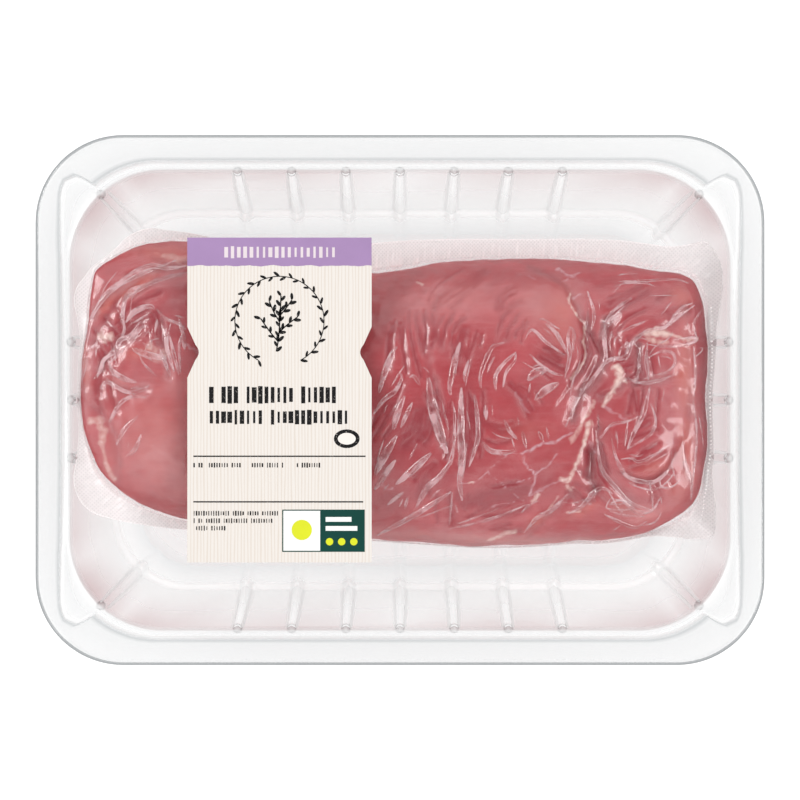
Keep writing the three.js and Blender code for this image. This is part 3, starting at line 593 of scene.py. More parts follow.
WARM_FIELDS = [
    (74, 7, 2.2, 9, 0, 0.8), (75, -14, 2.2, 9, 5, 0.7), (66, -17.5, 5, 2, 15, 0.6),
    (58, -28, 4, 1.5, -20, 0.5), (48, -29, 5, 1.2, 25, 0.5), (73, 27, 3, 2.5, -20, 0.6),
    (42, 22, 4, 7, 0, 0.55), (36, -32, 3, 1.5, 45, 0.5), (-68, 29.7, 6, 1.5, 35, 0.9),
    (-76, 24.5, 4, 1.2, 50, 0.8), (-81.5, 9, 1.2, 7, 5, 0.8), (-68, 12, 4, 2, 0, 0.6),
    (-62, 38, 8, 2, -3, 0.5), (72, -24, 3, 3, 0, 0.5), (-62, -6, 8, 8, 0, 0.12), (33, -8, 6, 3, 0, 0.3),
]
MILKY_FIELDS = [
    (6, 27, 15, 9, 8, 0.12), (30, 29, 16, 6, -8, 0.1), (60, 27, 14, 7, 0, 0.12), (66, 0, 10, 14, 0, 0.12),
    (66, -26, 12, 7, 0, 0.16), (-66, 27, 12, 8, 25, 0.17), (-62, 8, 10, 8, 0, 0.17),
    (-62, -14, 12, 14, 0, 0.1), (20, -35, 40, 4, -2, 0.2), (36, 6, 8, 8, 0, 0.08),
    (-81, 12, 4, 20, 0, 0.3), (77, -12, 2.4, 20, 0, 0.22),
]


def from_line(x, y, line):
    """Distance of points from a line of points, and whether they are on its left (1) or right (-1)."""
    best = np.full(np.shape(x), np.inf)
    hand = np.ones(np.shape(x))
    for (ax, ay), (bx, by) in zip(line, line[1:]):
        dx, dy = bx - ax, by - ay
        t = np.clip(((x - ax) * dx + (y - ay) * dy) / (dx * dx + dy * dy), 0, 1)
        away = np.hypot(x - ax - t * dx, y - ay - t * dy)
        nearer = away < best
        best = np.where(nearer, away, best)
        hand = np.where(nearer, np.sign(dx * (y - ay) - dy * (x - ax)), hand)
    return best, hand


def lump_columns():
    """The places round the lump, anticlockwise from the lower left: point on the spine, point on the
    outline, direction outwards, and how far each belongs to the left (-1) or right (1) end."""
    share = np.arange(1, SIDE_STEPS) / SIDE_STEPS
    angle = np.linspace(-90, 90, CAP_STEPS + 1)
    way = np.stack([np.cos(np.radians(angle)), np.sin(np.radians(angle))], axis=1)
    straight = np.array([(0, 1)]) * np.ones((SIDE_STEPS - 1, 1))
    along = SPINE_LEFT + share[:, None] * (SPINE_RIGHT - SPINE_LEFT)
    lower = np.stack([along[:, 0], through(LOWER_EDGE, along[:, 0])], axis=1)
    upper = np.stack([along[:, 0], through(UPPER_EDGE, along[:, 0])], axis=1)
    right = SPINE_RIGHT + way * through(RIGHT_CAP, angle)[:, None]
    left = SPINE_LEFT - way * through(LEFT_CAP, angle)[:, None]
    spine = np.vstack([along, SPINE_RIGHT + 0 * way, along[::-1], SPINE_LEFT + 0 * way])
    outline = np.vstack([lower, right, upper[::-1], left])
    outward = np.vstack([-straight, way, straight, -way])
    reach = np.clip((abs(outline[:, 0]) - END_START) / (END_FULL - END_START), 0, 1)
    return spine, outline, outward, np.sign(outline[:, 0]) * reach ** END_POWER


def at_end(end, left, middle, right):
    """A value that goes from its middle to its left or right one."""
    return middle + (np.where(end < 0, left, right) - middle) * abs(end)


def crown(x, y, fold_share=1, fold_widen=0):
    """Height of the meat's top side, with its lobes and folds. The pouch bridges the folds in part."""
    t = np.clip(abs(x) / CROWN_REACH, 0, 1)
    z = CROWN[1] + (np.where(x < 0, CROWN[0], CROWN[2]) - CROWN[1]) * t * t
    for *field, height in LOBES:
        z = z + height * in_field(x, y, *field)
    for line, depth, left, right in FOLDS:
        away, hand = from_line(x, y, line)
        width = np.where(hand > 0, left, right) + fold_widen
        z = z - fold_share * FOLD_LEFT * depth * np.exp(-(away / width) ** 1.6)
    return z


spine, outline, outward, end = lump_columns()
lump_count = len(spine)
waist = at_end(end, *WAIST)
reach = 1 - (1 - np.linspace(0, 1, TOP_STEPS + 1)[:, None]) ** 1.3
top_x = spine[:, 0] + reach * (outline[:, 0] - spine[:, 0])
top_y = spine[:, 1] + reach * (outline[:, 1] - spine[:, 1])
rise = np.clip(1 - reach ** 2.6, 0, 1) ** 0.42


def underside(inset, lift):
    """The rings below the widest line, inset from them and lifted, down to the spine."""
    share = np.linspace(1, 0, UNDER_STEPS + 1)[1:, None]
    drop = (waist - MEAT_BOTTOM - lift) * np.sqrt(1 - share ** 2.6)
    full = share ** 0.55
    lean = END_LEAN * abs(end) * drop * share + inset * share
    x = spine[:, 0] + full * (outline[:, 0] - spine[:, 0]) - outward[:, 0] * lean
    y = spine[:, 1] + full * (outline[:, 1] - spine[:, 1]) - outward[:, 1] * lean
    return np.stack([x, y, waist - drop], axis=2)


def noise_at(points, size, seed):
    """Smooth noise from about -1 to 1 at each point, with features of that size."""
    start = Vector((seed, 2 * seed, 3 * seed))
    return np.array([noise.noise(Vector(p) / size + start) for p in points])


def normals_up(grid):
    """Normals of a grid of points, ring by ring, that face up."""
    along = np.roll(grid, -1, axis=1) - np.roll(grid, 1, axis=1)
    normal = np.cross(np.gradient(grid, axis=0), along)
    return normal / np.maximum(np.linalg.norm(normal, axis=2, keepdims=True), 1e-9)


def raw_pork():
    """Raw pork muscle: moist and slightly translucent, with a grain across it, pale fat and lilac silverskin.
    Chilling and the vacuum leave it mottled between pale pink and deep red in part; the rest of that is painted
    shade in its folds and troughs and painted light on its lobes."""
    material, tree, output = new_material("raw_pork_muscle")
    place = add_node(tree, "ShaderNodeTexCoord").outputs["Object"]
    # Muscle fibres in bundles of about 0.9 mm, 8 mm long before they fade into the next.
    turned = add_node(tree, "ShaderNodeMapping", {
        0: place, "Rotation": (0, 0, GRAIN_TURN), "Scale": (1 / (8 * MM), 1 / (0.9 * MM), 1 / (0.9 * MM))})
    grain = add_node(tree, "ShaderNodeTexNoise", {
        "Vector": turned.outputs[0], "Scale": 1, "Detail": 1}).outputs[0]
    cloud = add_node(tree, "ShaderNodeTexNoise", {
        "Vector": place, "Scale": 1 / (9 * MM), "Detail": 5, "Distortion": 0.6}).outputs[0]
    fleck = add_node(tree, "ShaderNodeTexNoise", {
        "Vector": place, "Scale": 1 / (1.6 * MM), "Detail": 4, "Distortion": 0.8}).outputs[0]
    spread = add_node(tree, "ShaderNodeMapRange", {0: cloud, 1: 0.32, 2: 0.68})
    muscle = add_node(tree, "ShaderNodeMix", {
        0: spread.outputs[0], 6: linear("#A42933"), 7: linear("#B43B43")}, data_type="RGBA").outputs[2]
    fibre = add_node(tree, "ShaderNodeMapRange", {0: grain, 1: 0.5, 2: 0.8, 4: 0.18})
    muscle = add_node(tree, "ShaderNodeMix", {0: fibre.outputs[0], 6: muscle, 7: linear("#C46F74")},
                      data_type="RGBA").outputs[2]
    # Each tint: its mask, the noise that breaks it up and by how much, and where its edge starts and is full.
    # The deep red and the pale tints carry painted shade and painted light as well as the meat's own tone.
    for mask, noisy, broken, start, full, tint in (
            ("deep_red_and_shade", cloud, 0.5, 0, 1, "#93222F"), ("pale_and_lit", cloud, 0.5, 0, 1, "#C87D7B"),
            ("warm", cloud, 0.6, 0, 1, "#C0594E"), ("silverskin", fleck, 0.9, 0.2, 1.3, "#CFADB5"),
            ("fat", fleck, 0.9, 0.25, 1.1, "#E6CDC3")):
        share = add_node(tree, "ShaderNodeAttribute", attribute_name=mask).outputs["Fac"]
        uneven = add_node(tree, "ShaderNodeMath", {0: noisy, 1: 2 * broken, 2: 1 - broken},
                          operation="MULTIPLY_ADD")
        share = add_node(tree, "ShaderNodeMath", {0: share, 1: uneven.outputs[0]}, operation="MULTIPLY")
        edge = add_node(tree, "ShaderNodeMapRange", {0: share.outputs[0], 1: start, 2: full})
        muscle = add_node(tree, "ShaderNodeMix", {0: edge.outputs[0], 6: muscle, 7: linear(tint)},
                          data_type="RGBA").outputs[2]
    bump = add_node(tree, "ShaderNodeBump", {"Height": grain, "Strength": 0.3, "Distance": 0.2 * MM})
    skin = add_node(tree, "ShaderNodeBsdfPrincipled", {
        "Base Color": muscle, "Roughness": 0.45, "IOR": 1.4, "Normal": bump.outputs[0],
        "Subsurface Weight": 0.15, "Subsurface Radius": (1, 0.3, 0.25), "Subsurface Scale": 2 * MM})
    tree.links.new(skin.outputs[0], output.inputs["Surface"])
    return material


def weld(piece):
    """Merges the points that the rings share along the spine."""
    work = bmesh.new()
    work.from_mesh(piece.data)
    bmesh.ops.remove_doubles(work, verts=work.verts, dist=WELD_GAP)
    bmesh.ops.dissolve_degenerate(work, edges=work.edges, dist=WELD_GAP)
    work.to_mesh(piece.data)
    work.free()


def marks_at(x, y, marks):
    """The strongest of several marks at each point, each a line with a half width and a strength."""
    best = np.zeros(np.shape(x))
    for line, half, strength in marks:
        low = np.min(line, axis=0) - MARK_REACH * half
        high = np.max(line, axis=0) + MARK_REACH * half
        near = (x > low[0]) & (x < high[0]) & (y > low[1]) & (y < high[1])
        mark = strength * np.exp(-(from_line(x[near], y[near], line)[0] / half) ** 2)
        best[near] = np.maximum(best[near], mark)
    return best


def smooth_line(line, step):
    """Points at that step along a smooth curve through the given points."""
    line = np.array(line, float)
    at = np.concatenate([[0], np.cumsum(np.hypot(*np.diff(line, axis=0).T))])
    places = np.linspace(0, at[-1], max(4, int(at[-1] / step) + 1))
    return np.stack([through(np.stack([at, line[:, k]], axis=1), places) for k in (0, 1)], axis=1)


def on_meat(path):
    """Whether a line stays on the meat's top side, clear of its edge."""
    start = outline - LINE_CLEAR * outward
    stop = np.roll(start, -1, axis=0)
    x, y = path[:, :1], path[:, 1:]
    level = (start[:, 1] > y) != (stop[:, 1] > y)
    rise_there = np.where(stop[:, 1] == start[:, 1], 1, stop[:, 1] - start[:, 1])
    crossing = start[:, 0] + (y - start[:, 1]) / rise_there * (stop[:, 0] - start[:, 0])
    return ((level & (x < crossing)).sum(axis=1) % 2 == 1).all()


def beside(lines, seed, each, away, bend, share, wide):
    """Lines with half widths that run beside the given ones, so many for each: as far away, as much turned,
    over such a share of the length and as wide as chance draws them."""
    chance = np.random.default_rng(seed)
    more = []
    for line, _ in lines:
        path = smooth_line(line, PATH_STEP)
        for _ in range(each):
            count = max(4, int(len(path) * chance.uniform(*share)))
            first = chance.integers(0, max(1, len(path) - count))
            part = path[first:first + count]
            run = part[-1] - part[0]
            sideways = np.array([-run[1], run[0]]) / max(np.hypot(*run), 1e-6)
            shift = chance.choice([-1, 1]) * chance.uniform(*away) * sideways
            bent = np.radians(chance.normal(0, bend))
            turn = np.array([(np.cos(bent), np.sin(bent)), (-np.sin(bent), np.cos(bent))])
            middle = part.mean(axis=0)
            moved = (part - middle) @ turn + middle + shift
            half = chance.uniform(*wide)
            if on_meat(moved):
                more.append((moved, half))
    return more


streak_lines = STREAKS + beside(STREAKS, seed=5, each=3, away=(1.2, 4.5), bend=10, share=(0.4, 0.9),
                                wide=(0.4, 0.9))
streak_marks = [(line, half, 1) for line, half in streak_lines]
streaks = marks_at(top_x, top_y, streak_marks)
crown_height = crown(top_x, top_y) - STREAK_DEPTH * streaks
smooth_top = np.stack([top_x, top_y, waist + (crown_height - waist) * rise], axis=2)
top_normals = normals_up(smooth_top).reshape(-1, 3)
smooth_top = smooth_top.reshape(-1, 3)
unevenness = 0.4 * noise_at(smooth_top, 8, 3) + 0.14 * noise_at(smooth_top, 2.4, 11)
meat_top = smooth_top + top_normals * unevenness[:, None]
meat_points = np.vstack([meat_top, underside(0.5, 0.3).reshape(-1, 3)])
meat_rings = TOP_STEPS + 1 + UNDER_STEPS
meat_faces = ring_faces(meat_rings, lump_count, flip=True)
meat = make_piece("tenderloin_meat", meat_points, meat_faces, raw_pork())
# Fat and silverskin have ragged edges, so the places where they are looked up wander a little.
seen_x = meat_points[:, 0] + 0.5 * noise_at(meat_points, 4, 5) + 0.45 * noise_at(meat_points, 1.1, 6)
seen_y = meat_points[:, 1] + 0.5 * noise_at(meat_points, 4, 7) + 0.45 * noise_at(meat_points, 1.1, 8)
# Painted shade in the folds' valleys, as deep as each fold, and in the streaks' troughs, with the broad fields of
# deeper red and painted shade.
fold_shade = sum(depth * np.exp(-(from_line(seen_x, seen_y, line)[0] / VALLEY_HALF) ** 2)
             for line, depth, _, _ in FOLDS)
deep_red_and_shade = (FIELD_RED_AND_SHADE * fields_at(seen_x, seen_y, DEEP_RED_AND_SHADE_FIELDS) + VALLEY_SHADE * fold_shade
        + STREAK_SHADE * marks_at(seen_x, seen_y, streak_marks))
silverskin = [(line, SILVERSKIN_SHARE * half, strength) for line, half, strength in SILVERSKIN]
paint(meat, "deep_red_and_shade", deep_red_and_shade)
# Pale pink is partly the meat's own tone and partly painted light on the lobes' tops.
paint(meat, "pale_and_lit", fields_at(seen_x, seen_y, PALE_AND_LIT_FIELDS))
paint(meat, "warm", fields_at(seen_x, seen_y, WARM_FIELDS))
paint(meat, "fat", marks_at(seen_x, seen_y, FAT))
paint(meat, "silverskin", marks_at(seen_x, seen_y, silverskin))
weld(meat)
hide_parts("tenderloin_in_pouch")


# Pouch
# The pouch is two sheets of embossed film, sealed round the meat and drawn tight by the vacuum. The upper one
# clings to the meat and stands out round it as a flat margin. Its creases are where the film had slack.

SEAL_UPPER = [(-48, 1.2), (-20, 4.5), (-6, 8.0), (12, 6.2), (36, 5.2), (48, 5.6)]
SEAL_LOWER = [(-48, 1.4), (-28, 0.5), (36, 0.5), (48, 0.8)]
SEAL_LEFT = [
    (-90, 1.2), (-72, 2.6), (-66, 3.8), (-59, 3.3), (-52, 1.6), (-45, 0.8), (-39.4, 2.2), (-34.6, 4.0),
    (-29.5, 4.3), (-24.8, 2.9), (-17.6, 1.1), (-6.6, 0.9), (10, 0.9), (22, 1.6), (30, 4.0), (36, 7.0),
    (42, 8.6), (47.5, 8.4), (53, 6.8), (62, 4.6), (71, 3.2), (90, 1.4),
]
SEAL_RIGHT = [
    (-90, 0.8), (-66, 0.8), (-58, 2.6), (-50, 6.8), (-46, 8.6), (-41.4, 6.0), (-35, 3.6), (-26.6, 2.1),
    (1.8, 1.5), (27.4, 2.4), (36, 4.0), (44.2, 6.6), (49.3, 8.4), (53.3, 9.8), (57, 7.8), (62.4, 6.4),
    (82, 5.8), (90, 5.6),
]
SEAL_HEIGHT = (36.4, 18, 34.6)
# Where the margin is narrower than this, it lies lower, down to the meat's widest line.
LIFTED_WIDTH = 6
SEAL_THICKNESS = 0.3
# The margin's rings, as shares of its width, the painted highlight on its pleats there, and how milky its cut
# edge is.
SEAL_RINGS = [0.2, 0.45, 0.75, 0.93, 1]
PLEAT_HIGHLIGHT = [0.55, 0.4, 0.1, 0, 0]
EDGE_HAZE = 0.5
# How milky the film is where it clings, in the milky fields and over bridged folds, and how much of that the
# wet streaks take away.
CLINGING_HAZE, MILKINESS, BRIDGE_HAZE, STREAK_CLEARS = 0.04, 0.6, 0.12, 0.8
FILM_GAP = 0.2
BRIDGED = 0.4
BRIDGE_WIDENING = 0.6
SIDE_STARTS = 0.965
EMBOSS_PITCH = 0.7
# The bottom sheet is hardly seen, so it has every third point of the top sheet's edge.
BOTTOM_EVERY = 3


def seal_width():
    """Width of the flat margin at each place round the lump."""
    angle = np.linspace(-90, 90, CAP_STEPS + 1)
    along = outline[:SIDE_STEPS - 1, 0]
    return np.concatenate([through(SEAL_LOWER, along), through(SEAL_RIGHT, angle),
                           through(SEAL_UPPER, along[::-1]), through(SEAL_LEFT, angle)])


def embossed_film():
    """Embossed polyethylene and nylon film: clear where it clings, with a fine milky diamond grain where it is
    free, which shows on the flat margins, and painted highlights along the pleats of its margin."""
    material, tree, output = new_material("embossed_pouch_film")
    place = add_node(tree, "ShaderNodeTexCoord").outputs["Object"]
    turned = add_node(tree, "ShaderNodeMapping", {0: place, "Rotation": (0, 0, math.radians(45))})
    axes = add_node(tree, "ShaderNodeSeparateXYZ", {0: turned.outputs[0]})
    waves = []
    for axis in ("X", "Y"):
        phase = add_node(tree, "ShaderNodeMath", {
            0: axes.outputs[axis], 1: 2 * math.pi / (EMBOSS_PITCH * MM)}, operation="MULTIPLY")
        waves.append(add_node(tree, "ShaderNodeMath", {0: phase.outputs[0]}, operation="SINE").outputs[0])
    diamonds = add_node(tree, "ShaderNodeMath", {0: waves[0], 1: waves[1]}, operation="MAXIMUM").outputs[0]
    margin = add_node(tree, "ShaderNodeAttribute", attribute_name="margin").outputs["Fac"]
    haze = add_node(tree, "ShaderNodeAttribute", attribute_name="haze").outputs["Fac"]
    relief = add_node(tree, "ShaderNodeMath", {0: diamonds, 1: margin}, operation="MULTIPLY").outputs[0]
    bump = add_node(tree, "ShaderNodeBump", {"Height": relief, "Strength": 0.4, "Distance": 0.08 * MM})
    sheet = clear_sheet(tree, "#FDFBFB", "#F6ECED", 3, 1.2, 0.15, 0.15, bump.outputs[0])
    milk = add_node(tree, "ShaderNodeMix", {0: margin, 6: linear("#F2CACD"), 7: linear("#FFF8F8")},
                    data_type="RGBA")
    haze_and_highlight = haze_of(tree, milk.outputs[2])
    grain = add_node(tree, "ShaderNodeMapRange", {0: diamonds, 1: -1, 2: 1, 3: 0.36, 4: 0.5})
    veil = add_node(tree, "ShaderNodeMath", {0: grain.outputs[0], 1: margin}, operation="MULTIPLY").outputs[0]
    whole = add_node(tree, "ShaderNodeMath", {0: veil, 1: haze}, operation="ADD", use_clamp=True).outputs[0]
    mixed = add_node(tree, "ShaderNodeMixShader", {0: whole, 1: sheet.outputs[0], 2: haze_and_highlight})
    tree.links.new(mixed.outputs[0], output.inputs["Surface"])
    return material


pouch_material = embossed_film()
width = seal_width()[:, None]
edge_height = waist + (at_end(end, *SEAL_HEIGHT) - waist) * np.clip(width[:, 0] / LIFTED_WIDTH, 0, 1)


def margin_points(shares, side, every=1):
    """Rings of points across the margin, as shares of its width, on its upper (1) or lower (-1) sheet."""
    shares = np.array(shares)[:, None]
    xy = outline + outward * (FILM_GAP + width * shares[:, :, None])
    z = waist + (edge_height - waist) * shares + side * SEAL_THICKNESS / 2 * (1 - shares ** 6)
    return np.concatenate([xy, z[:, :, None]], axis=2)[:, ::every].reshape(-1, 3)


bridge = np.clip(crown(top_x, top_y, 1 - BRIDGED, BRIDGE_WIDENING) - crown(top_x, top_y), 0, None) * rise
film_top = meat_top + top_normals * FILM_GAP
film_top[:, 2] += bridge.ravel()
film_points = np.vstack([film_top, margin_points(SEAL_RINGS, 1)])
film_faces = ring_faces(TOP_STEPS + 1 + len(SEAL_RINGS), lump_count, flip=True)
pouch_top = make_piece("pouch_top_film", film_points, film_faces, pouch_material)
# The margin is milky, the film's steep side is clear, and its top is milkier where it stands off the meat.
on_side = np.clip((reach - SIDE_STARTS) / (1 - SIDE_STARTS), 0, 1) * np.ones((1, lump_count))
paint(pouch_top, "margin", np.repeat([0, 1], [len(film_top), len(film_points) - len(film_top)]))
mottle = 0.8 + 0.6 * noise_at(film_top, 3.2, 14) + 0.15 * noise_at(film_top, 1.2, 15)
off_meat = MILKINESS * fields_at(top_x, top_y, MILKY_FIELDS) + BRIDGE_HAZE * np.clip(bridge, 0, 1)
haze = ((CLINGING_HAZE + off_meat) * (1 - STREAK_CLEARS * streaks) * (1 - on_side)).ravel() * mottle
# Short pleats run out from the meat into the margin, painted on as highlights in its haze, and its cut edge shows
# as a white line.
in_rings = film_points[len(film_top):]
pleat_highlights = np.clip(2.6 * noise_at(in_rings * (1, 0.1, 0), 0.8, 21) - 0.2, 0, 1)
fade = np.repeat(PLEAT_HIGHLIGHT, lump_count)
edge = np.repeat([0] * (len(SEAL_RINGS) - 1) + [EDGE_HAZE], lump_count)
paint(pouch_top, "haze", np.concatenate([haze, np.maximum(pleat_highlights * fade, edge)]))
weld(pouch_top)
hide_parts("tenderloin_in_pouch")

bottom_points = np.vstack([margin_points([1, 0.5, 0], -1, BOTTOM_EVERY),
                           underside(0.1, 0)[:, ::BOTTOM_EVERY].reshape(-1, 3)])
bottom_count = len(range(0, lump_count, BOTTOM_EVERY))
bottom_faces = ring_faces(3 + UNDER_STEPS, bottom_count, flip=True)
pouch_bottom = make_piece("pouch_bottom_film", bottom_points, bottom_faces, pouch_material)
in_margin = np.repeat([1, 0], [2 * bottom_count, len(bottom_points) - 2 * bottom_count])
paint(pouch_bottom, "margin", in_margin)
paint(pouch_bottom, "haze", 0 * in_margin)
weld(pouch_bottom)
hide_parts("tenderloin_in_pouch")

